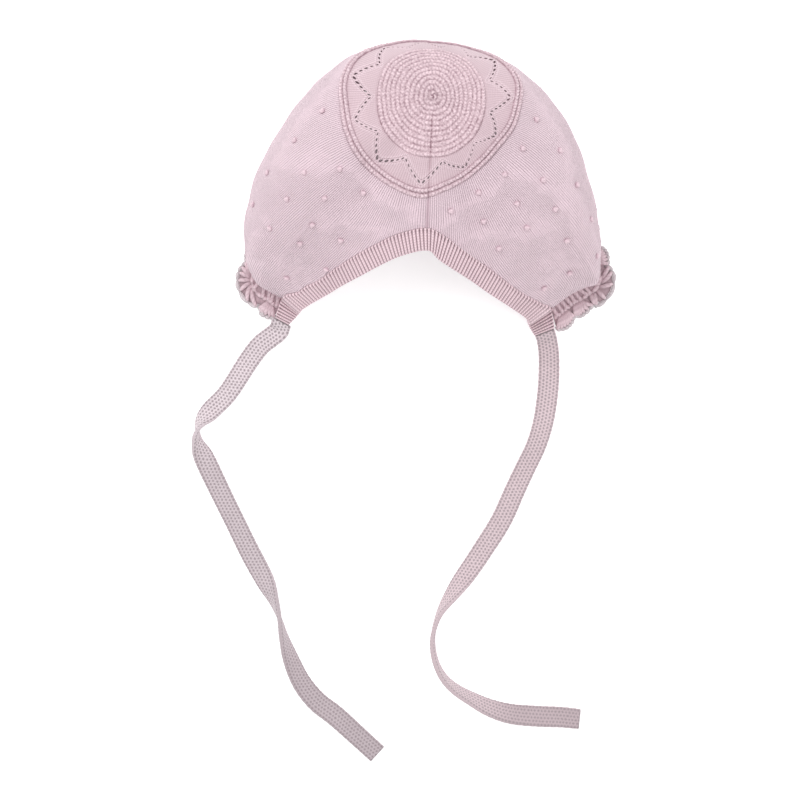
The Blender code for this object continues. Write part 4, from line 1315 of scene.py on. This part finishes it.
def crochet_trim(colours):
    """A row of posts and a row of fanned shells with a looped edge, all of yarn tubes, over a darkish
    sheet of painted shade in the gaps between them.
    """
    _, length = even_places(face_edge, TRIM_FROM, TRIM_TO, 2)
    scallops = round(length / SCALLOP_PITCH)
    fine = 24
    stations = scallops * fine + 1
    direction, _ = even_places(face_edge, TRIM_FROM, TRIM_TO, stations)
    root = face_edge(direction)
    root[:, 2] = 0
    along = unit(np.gradient(root[:, :2], axis=0))
    phase = np.arange(stations) / fine
    near_from = np.clip(1 - phase / TRIM_LEAN_SCALLOPS, 0, 1)
    near_to = np.clip(1 - (scallops - phase) / TRIM_LEAN_SCALLOPS, 0, 1)
    lean = TRIM_LEAN_TO * near_to - TRIM_LEAN_FROM * near_from
    sideways = np.stack([along[:, 1], -along[:, 0]], axis=1) + along * lean[:, None]
    outward = np.concatenate([sideways, np.zeros((stations, 1))], axis=1)

    def at(place, reach, height):
        """Trim points: place in scallops along the root, reach outward, height up."""
        place, reach, height = np.broadcast_arrays(place, reach, height)
        origin = [np.interp(place, phase, root[:, k]) for k in range(3)]
        out = [np.interp(place, phase, outward[:, k]) for k in range(3)]
        point = np.stack(origin, axis=-1) + np.stack(out, axis=-1) * reach[..., None]
        point[..., 2] += height
        return point

    skein = Skein()
    chain = np.linspace(0, scallops, scallops * CHAINS_PER_SCALLOP * 5 + 1)
    loops = np.abs(np.sin(chain * CHAINS_PER_SCALLOP * math.pi))
    for reach, height, radius in ((0.0002, 0.0042, 0.0011), (0.0056, 0.0027, 0.0011)):
        path = at(chain[None, :], reach, height)
        size = radius * (0.68 + 0.32 * loops)[None, :]
        skein.tubes(path, size, TUBE_SIDES, relief=(0.45 + 0.55 * loops)[None, :])
    posts = round(length / POST_PITCH)
    post_at = (np.arange(posts) + 0.5) / posts * scallops
    t = np.linspace(0, 1, 6)
    lean = post_at[:, None] + 0.14 * (t[None, :] - 0.5)
    path = at(lean, 0.0006 + 0.0052 * t[None, :], 0.0043 - 0.0016 * t[None, :])
    size = (0.00102 + 0.00014 * np.cos(t * 2 * math.pi))[None, :] + np.zeros((posts, 1))
    skein.tubes(path, size, TUBE_SIDES, relief=0.9)
    slot = np.arange(STRANDS_PER_SHELL)
    spread = (slot - (STRANDS_PER_SHELL - 1) / 2) / (STRANDS_PER_SHELL - 1)
    shell = np.arange(scallops)[:, None, None] + 0.5
    steps = 7
    t = np.linspace(0, 1, steps)[None, None, :]
    lean = spread[None, :, None]
    side = lean * (0.36 + 0.56 * t)
    rise = 0.0062 + (0.0062 * np.cos(lean * 1.25)) * t
    height = 0.0019 + 0.0010 * np.sin(t * math.pi) + 0 * side
    path = at(shell + side, rise + 0 * shell, height + 0 * shell)
    puff = 0.00062 + 0.00052 * np.sin(np.clip(t, 0, 1) * math.pi * 0.86 + 0.25) ** 0.8
    size = np.broadcast_to(puff, path.shape[:3])
    shape = path.reshape(-1, steps, 3)
    # Painted shade: each shell's strands darken towards their roots by the posts.
    shell_root_shade = np.linspace(0.55, 1.0, steps)[None, :]
    skein.tubes(shape, size.reshape(-1, steps), TUBE_SIDES, relief=shell_root_shade)
    edge = np.linspace(0, scallops, scallops * 36 + 1)
    inside = edge % 1.0
    arch = np.sin(inside * math.pi) ** 0.55
    picot = np.abs(np.sin(edge * 6 * math.pi))
    reach = TRIM_WIDTH - 0.0012 - SCALLOP_DEPTH * (1 - arch) + 0.0005 * picot
    path = at(edge[None, :], reach[None, :], (0.0013 + 0.0004 * picot)[None, :])
    size = 0.0009 * (0.75 + 0.35 * picot)[None, :]
    rim = Skein()
    rim.tubes(path, size, TUBE_SIDES, relief=(0.5 + 0.5 * picot)[None, :])
    # A sheet under the posts and shells, in a mix of the trim's colours leaning to its gap shade: painted
    # shade that fills the gaps between the yarn.
    shade_sheet_at = np.linspace(0, scallops, scallops * 12 + 1)
    arch = np.sin((shade_sheet_at % 1.0) * math.pi) ** 0.55
    far = TRIM_WIDTH - 0.0018 - SCALLOP_DEPTH * (1 - arch)
    share = np.array([0.0, 0.12, 0.3, 0.55, 0.8, 1.0, 1.0, 0.55, 0.12, 0.0])[:, None]
    level = np.array([4.0, 3.9, 3.0, 2.2, 2.0, 1.3, 0.25, 0.25, 0.25, 1.6])[:, None] / 1000
    shade_sheet = at(shade_sheet_at[None, :], far[None, :] * share, level + 0 * far[None, :])
    stitch = map_grid(shade_sheet_at[None, :] * 5, np.arange(len(share) + 1)[:, None])
    first = skein.grid(shade_sheet[:, ::-1], stitch, 0.42, ring=True, wrap=False)
    skein.close_ends(first, shade_sheet[:, ::-1], 0.1)
    material = crochet_yarn("trim_yarn_crochet", colours.trim_light, colours.trim_gap_shade, CROCHET_BUMP)
    piece = skein.make("face_trim_crochet", material)
    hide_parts("face_trim")
    material = crochet_yarn("trim_edge_yarn", colours.edge_light, colours.edge_gap_shade, CROCHET_BUMP)
    piece = rim.make("face_trim_edge", material)


def knit_tie(name, table, band_end, painted_shades, light, groove_shade):
    """A flat knitted strip: a rounded oval section carried along the tie's route.

    The section is centre + wide * x + thick * y, where x runs across and y bulges more
    at the two rolled edges than in the middle, and turn rolls the section over.
    painted_shades is painted shade that darkens the yarn along the way.
    """
    across_by, down_by, turned = (
        table_column(table, TIE_COLUMNS, name) for name in TIE_COLUMNS
    )
    knots = np.arange(len(table))

    def route(place):
        """The route in the plan."""
        x = smooth_table(knots, across_by, place) * CAP_REACH
        y = -smooth_table(knots, down_by, place) * CAP_REACH
        return np.stack([x, y, np.zeros_like(x)], axis=-1)

    stations = TIE_STATIONS
    places, length = even_places(route, 0, len(table) - 1, stations)
    centre = route(places)
    turn = np.radians(smooth_table(knots, turned, places))
    forward = unit(np.gradient(centre, axis=0))
    side = np.stack([-forward[:, 1], forward[:, 0], np.zeros(stations)], axis=1)
    half_width = TIE_WIDTH / 2
    half_thick = TIE_THICKNESS / 2
    centre[:, 2] = half_width * np.abs(np.sin(turn)) + half_thick * np.abs(np.cos(turn))
    centre[:, 2] += TIE_FLOOR_GAP
    wide = side * np.cos(turn)[:, None] + Z * np.sin(turn)[:, None]
    thick = Z * np.cos(turn)[:, None] - side * np.sin(turn)[:, None]
    join, edge, band_along, across, outward, _ = band_frame(TIE_BAND_STATIONS)
    away = band_along[band_end] if band_end else -band_along[band_end]
    middle = (join[band_end] + edge[band_end]) / 2
    middle = middle + outward[band_end] * (BAND_RISE - BAND_DEPTH) / 2 + away * GAP
    travel = np.arange(stations) / (stations - 1) * length
    lead = step_between(length / TIE_LEAD_PARTS, 0.0, travel)[:, None]
    centre = centre + (middle - centre[0]) * lead
    facing = across[band_end] * np.sign(across[band_end] @ wide[0])
    wide = unit(wide * (1 - lead) + facing * lead)
    thick = unit(thick * (1 - lead) + outward[band_end] * lead)
    t = np.linspace(0, 1, 23)[:-1]
    x = np.concatenate([np.cos(math.pi * (1 - t)), np.cos(math.pi * t)])
    sign = np.concatenate([np.ones(22), -np.ones(22)])
    edge_roll = 0.74 + 0.26 * bump(np.abs(x) - 0.84, 0.14)
    y = sign * np.sqrt(np.clip(1 - x**10, 0, 1)) * edge_roll
    ends = np.minimum(travel, length - travel)
    close = np.sqrt(np.clip(1 - (1 - np.clip(ends / 0.0011, 0, 1)) ** 2, 0.02, 1))
    close = np.where(travel < length / 2, 1.0, close)
    trim = 1 - 0.06 * (1 - close)
    ripple = 1 + 0.012 * np.sin(travel * 2 * math.pi / 0.0035) + 0.02 * np.sin(travel * 90 + band_end)
    wide_by = (half_width * trim * ripple)[None, :] * x[:, None]
    thick_by = (half_thick * close)[None, :] * y[:, None]
    points = centre[None] + wide[None] * wide_by[..., None] + thick[None] * thick_by[..., None]
    points[..., 2] = np.maximum(points[..., 2], TIE_FLOOR_GAP / 2)
    rolled = step_between(0.80, 0.90, np.abs(x))
    groove = bump(np.abs(x) - 0.80, 0.05)
    # Painted shade along the tie: tone scales its relief, and so darkens its colour, at shares of its
    # way.
    shade_way = table_column(painted_shades, PAINTED_SHADE_COLUMNS, "way")
    tone = np.interp(travel / length, shade_way, table_column(painted_shades, PAINTED_SHADE_COLUMNS, "light"))
    # Painted shade: the colour, and a little of the bump, is darker in the creases beside the rolled
    # edges and on the rolled edges themselves.
    relief = np.clip(1 - 0.45 * groove - 0.25 * rolled, 0, 1)
    relief = relief[:, None] * tone[None, :]
    u = np.concatenate([x * 3.0, [x[0] * 3.0]])
    stitch = map_grid(u[:, None], (travel / TIE_COURSE)[None, :])
    skein = Skein()
    first = skein.grid(points[:, ::-1], stitch[:, ::-1], relief[:, ::-1], ring=True, wrap=False)
    skein.close_ends(first, points[:, ::-1], 0.5)
    material = tie_yarn(f"{name}_yarn_knit", light, groove_shade, KNIT_BUMP)
    piece = skein.make(f"{name}_knit", material)
    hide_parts(name)
    world = centre + np.array(CROWN_CENTRE)
    spine = [tuple(float(c) for c in point) for point in world[::TIE_PATH_STEP]]
    spine.append(tuple(float(c) for c in world[-1]))
    run = float(np.linalg.norm(np.diff(world, axis=0), axis=1).sum())


# Stage


def lay_floor(stage):
    """A plain pale floor that glows a little, as painted light that lifts the shadows round the bonnet,
    but not in the shade under the crown.
    """
    half = stage.floor_size / 2
    mesh = bpy.data.meshes.new("floor")
    corners = [(-half, -half, 0), (half, -half, 0), (half, half, 0), (-half, half, 0)]
    mesh.from_pydata(corners, [], [(0, 1, 2, 3)])
    material = bpy.data.materials.new("floor_white")
    material.use_nodes = True
    shader = material.node_tree.nodes["Principled BSDF"]
    shader.inputs["Base Color"].default_value = (0.93, 0.93, 0.93, 1)
    shader.inputs["Roughness"].default_value = 0.9
    shader.inputs["Specular IOR Level"].default_value = 0.1
    shader.inputs["Emission Color"].default_value = (1.0, 1.0, 1.0, 1.0)
    nodes = material.node_tree.nodes
    links = material.node_tree.links
    place = nodes.new("ShaderNodeTexCoord")
    squeezed = nodes.new("ShaderNodeMapping")
    squeezed.vector_type = "TEXTURE"
    squeezed.inputs["Location"].default_value = (0.001, 0.016, 0.0)
    squeezed.inputs["Scale"].default_value = (0.066, 0.045, 1.0)
    distance = nodes.new("ShaderNodeVectorMath")
    distance.operation = "LENGTH"
    # Painted light: the floor's glow is nothing in an oval under the crown and full beyond it.
    glow = nodes.new("ShaderNodeMapRange")
    glow.inputs[1].default_value = 0.85
    glow.inputs[2].default_value = 1.0
    glow.inputs[3].default_value = 0.0
    glow.inputs[4].default_value = stage.floor_glow
    links.new(place.outputs["Object"], squeezed.inputs["Vector"])
    links.new(squeezed.outputs["Vector"], distance.inputs[0])
    links.new(distance.outputs["Value"], glow.inputs[0])
    links.new(glow.outputs[0], shader.inputs["Emission Strength"])
    mesh.materials.append(material)
    floor = bpy.data.objects.new("floor", mesh)
    bpy.context.scene.collection.objects.link(floor)


def add_light(name, place, size, power):
    """A soft square light above the bonnet, pointing at the middle of it."""
    data = bpy.data.lights.new(name, "AREA")
    data.shape = "SQUARE"
    data.size = size
    data.energy = power
    light = bpy.data.objects.new(name, data)
    bpy.context.scene.collection.objects.link(light)
    light.location = place
    ahead = np.array(LIGHT_AIM) - np.array(place)
    level = math.hypot(ahead[0], ahead[1])
    light.rotation_euler = (math.atan2(level, -ahead[2]), 0, math.atan2(-ahead[0], ahead[1]))


def set_camera(stage):
    """A camera straight above, looking down, with the photograph's width on the floor."""
    data = bpy.data.cameras.new("camera")
    data.sensor_width = 36.0
    data.lens = 36.0 * stage.camera_height / stage.view_width
    camera = bpy.data.objects.new("camera", data)
    bpy.context.scene.collection.objects.link(camera)
    camera.location = (stage.camera_x, stage.camera_y, stage.camera_height)
    bpy.context.scene.camera = camera


# What a user may change


def colour(name, red, green, blue, description):
    """A colour property from display values of 0 to 255."""
    return bpy.props.FloatVectorProperty(
        name=name, description=description, subtype="COLOR_GAMMA", size=3, min=0.0, max=1.0,
        default=(red / 255, green / 255, blue / 255),
    )


def size(name, default, description):
    """A length property in metres."""
    return bpy.props.FloatProperty(
        name=name, description=description, default=default, min=0.0, unit="LENGTH", precision=5,
    )


class BonnetSizes(bpy.types.PropertyGroup):
    """Sizes of the stitches."""

    garter_pitch: size("Garter ring pitch", 0.0021, "Distance between rings of the disc")
    garter_relief: size("Garter relief", 0.0009, "Height of the disc's ridges")
    bead_pitch: size("Purl bump pitch", 0.00155, "Distance between purl bumps round a ring")
    ring_relief: size("Ring relief", 0.0016, "Height of the two ridges round the lace")
    course_pitch: size("Course pitch", 0.00074, "Height of one stockinette stitch")
    wale_pitch: size("Wale pitch", 0.00102, "Narrowest width of one column of stitches")
    rib_pitch: size("Rib pitch", 0.0016, "Distance between ribs of the neck band")
    rib_relief: size("Rib relief", 0.0008, "Height of the ribs")
    bobble_size: size("Bobble size", 0.0028, "Width of one bobble")
    panel_wales: bpy.props.IntProperty(
        name="Wales", description="Columns of stitches round the medallion", default=300, min=8,
    )


class BonnetColours(bpy.types.PropertyGroup):
    """Yarn colours, on top of a stitch and in its groove, where the darker colour is painted shade."""

    disc_light: colour("Disc", 241, 217, 224, "Disc, on the stitch")
    disc_groove_shade: colour("Disc groove", 150, 118, 128, "Disc, in the groove")
    lace_light: colour("Lace", 233, 211, 218, "Lace, on the stitch")
    lace_groove_shade: colour("Lace groove", 150, 116, 126, "Lace, in the groove")
    ridge_light: colour("Ring", 240, 217, 224, "Ring, on the stitch")
    ridge_groove_shade: colour("Ring groove", 154, 124, 134, "Ring, in the groove")
    bobble_light: colour("Bobble", 236, 212, 220, "Bobble, on the yarn")
    bobble_gap_shade: colour("Bobble gap", 180, 150, 162, "Bobble, between the yarn")
    panel_light: colour("Panel", 255, 232, 241, "Panel, on the stitch")
    panel_groove_shade: colour("Panel groove", 174, 146, 157, "Panel, in the groove")
    band_light: colour("Band", 242, 216, 223, "Band, on the rib")
    band_furrow_shade: colour("Band furrow", 136, 108, 117, "Band, in the furrow")
    trim_light: colour("Trim", 234, 210, 217, "Trim, on the yarn")
    trim_gap_shade: colour("Trim gap", 142, 114, 123, "Trim, between the yarn")
    edge_light: colour("Trim edge", 214, 205, 208, "Looped edge, on the yarn")
    edge_gap_shade: colour("Trim edge gap", 158, 146, 150, "Looped edge, between the yarn")
    tie_left_light: colour("Left tie", 232, 219, 224, "Left tie, on the stitch")
    tie_left_gap_shade: colour("Left tie gap", 150, 136, 141, "Left tie, in the gaps")
    tie_right_light: colour("Right tie", 225, 205, 210, "Right tie, on the stitch")
    tie_right_gap_shade: colour("Right tie gap", 156, 142, 147, "Right tie, in the gaps")


class BonnetStage(bpy.types.PropertyGroup):
    """Floor, lights and camera."""

    floor_size: size("Floor size", 6.0, "Side of the square floor")
    camera_x: bpy.props.FloatProperty(
        name="Camera X", description="Camera place from left to right", default=-0.0132,
        unit="LENGTH", precision=4,
    )
    camera_y: bpy.props.FloatProperty(
        name="Camera Y", description="Camera place from front to back", default=-0.1053,
        unit="LENGTH", precision=4,
    )
    camera_height: size("Camera height", 1.5, "Camera above the floor")
    view_width: size("View width", 0.408, "Width that the picture shows on the floor")
    floor_glow: bpy.props.FloatProperty(
        name="Floor glow", description="Light of the white floor itself", default=0.45, min=0.0,
    )
    sky_strength: bpy.props.FloatProperty(
        name="Sky strength", description="Even light from all round", default=0.72, min=0.0,
    )
    key_power: bpy.props.FloatProperty(
        name="Key power", description="Main soft light", default=9.0, min=0.0, unit="POWER",
    )
    fill_power: bpy.props.FloatProperty(
        name="Fill power", description="Second soft light", default=4.0, min=0.0, unit="POWER",
    )


class BONNET_OT_stage(bpy.types.Operator):
    """Set the camera, the floor and the soft lights"""

    bl_idname = "bonnet.stage"
    bl_label = "Set the stage"

    def execute(self, context):
        stage = context.scene.bonnet_stage
        set_camera(stage)
        lay_floor(stage)
        world = bpy.data.worlds.new("studio")
        world.use_nodes = True
        background = world.node_tree.nodes["Background"]
        background.inputs["Color"].default_value = (1.0, 1.0, 1.0, 1.0)
        background.inputs["Strength"].default_value = stage.sky_strength
        context.scene.world = world
        add_light("key_light", KEY_PLACE, KEY_SIZE, stage.key_power)
        add_light("fill_light", FILL_PLACE, FILL_SIZE, stage.fill_power)
        context.scene.view_settings.view_transform = "Standard"
        return {"FINISHED"}


class BONNET_OT_ties(bpy.types.Operator):
    """Knit the left and the right tie"""

    bl_idname = "bonnet.ties"
    bl_label = "Knit the ties"

    def execute(self, context):
        colours = context.scene.bonnet_colours
        knit_tie(
            "tie_left", TIE_LEFT, 0, PAINTED_SHADE_LEFT, colours.tie_left_light, colours.tie_left_gap_shade
        )
        knit_tie(
            "tie_right", TIE_RIGHT, -1, PAINTED_SHADE_RIGHT, colours.tie_right_light, colours.tie_right_gap_shade
        )
        return {"FINISHED"}


class BONNET_OT_medallion(bpy.types.Operator):
    """Knit the crown's disc, its lace and the raised ring"""

    bl_idname = "bonnet.medallion"
    bl_label = "Knit the medallion"

    def execute(self, context):
        sizes = context.scene.bonnet_sizes
        colours = context.scene.bonnet_colours
        knit_disc(sizes, colours)
        knit_lace(sizes, colours)
        knit_ridge_ring(sizes, colours)
        return {"FINISHED"}


class BONNET_OT_panel(bpy.types.Operator):
    """Knit the side panel and its bobbles"""

    bl_idname = "bonnet.panel"
    bl_label = "Knit the side panel"

    def execute(self, context):
        sizes = context.scene.bonnet_sizes
        colours = context.scene.bonnet_colours
        knit_panel(sizes, colours)
        knit_bobbles(sizes, colours)
        return {"FINISHED"}


class BONNET_OT_band(bpy.types.Operator):
    """Knit the ribbed neck band"""

    bl_idname = "bonnet.band"
    bl_label = "Knit the neck band"

    def execute(self, context):
        knit_band(context.scene.bonnet_sizes, context.scene.bonnet_colours)
        return {"FINISHED"}


class BONNET_OT_trim(bpy.types.Operator):
    """Crochet the face trim"""

    bl_idname = "bonnet.trim"
    bl_label = "Crochet the face trim"

    def execute(self, context):
        crochet_trim(context.scene.bonnet_colours)
        return {"FINISHED"}


OPERATORS = (
    BONNET_OT_stage,
    BONNET_OT_ties,
    BONNET_OT_medallion,
    BONNET_OT_panel,
    BONNET_OT_band,
    BONNET_OT_trim,
)


class BONNET_PT_panel(bpy.types.Panel):
    """The steps and what they read, in the sidebar"""

    bl_idname = "BONNET_PT_panel"
    bl_label = "Knitted bonnet"
    bl_space_type = "VIEW_3D"
    bl_region_type = "UI"
    bl_category = "Bonnet"

    def draw(self, context):
        for operator in OPERATORS:
            self.layout.operator(operator.bl_idname)
        for group in ("bonnet_sizes", "bonnet_colours", "bonnet_stage"):
            values = getattr(context.scene, group)
            for name in values.__annotations__:
                self.layout.prop(values, name)


CLASSES = (BonnetSizes, BonnetColours, BonnetStage) + OPERATORS + (BONNET_PT_panel,)


def register():
    """Register the classes and hang the values on the scene."""
    for kind in CLASSES:
        bpy.utils.register_class(kind)
    bpy.types.Scene.bonnet_sizes = bpy.props.PointerProperty(type=BonnetSizes)
    bpy.types.Scene.bonnet_colours = bpy.props.PointerProperty(type=BonnetColours)
    bpy.types.Scene.bonnet_stage = bpy.props.PointerProperty(type=BonnetStage)


def unregister():
    """Take the classes and the values away again."""
    del bpy.types.Scene.bonnet_stage
    del bpy.types.Scene.bonnet_colours
    del bpy.types.Scene.bonnet_sizes
    for kind in reversed(CLASSES):
        bpy.utils.unregister_class(kind)


def main():
    """Build the bonnet in order."""
    register()
    for operator in OPERATORS:
        group, name = operator.bl_idname.split(".")
        getattr(getattr(bpy.ops, group), name)()


if __name__ == "__main__":
    main()
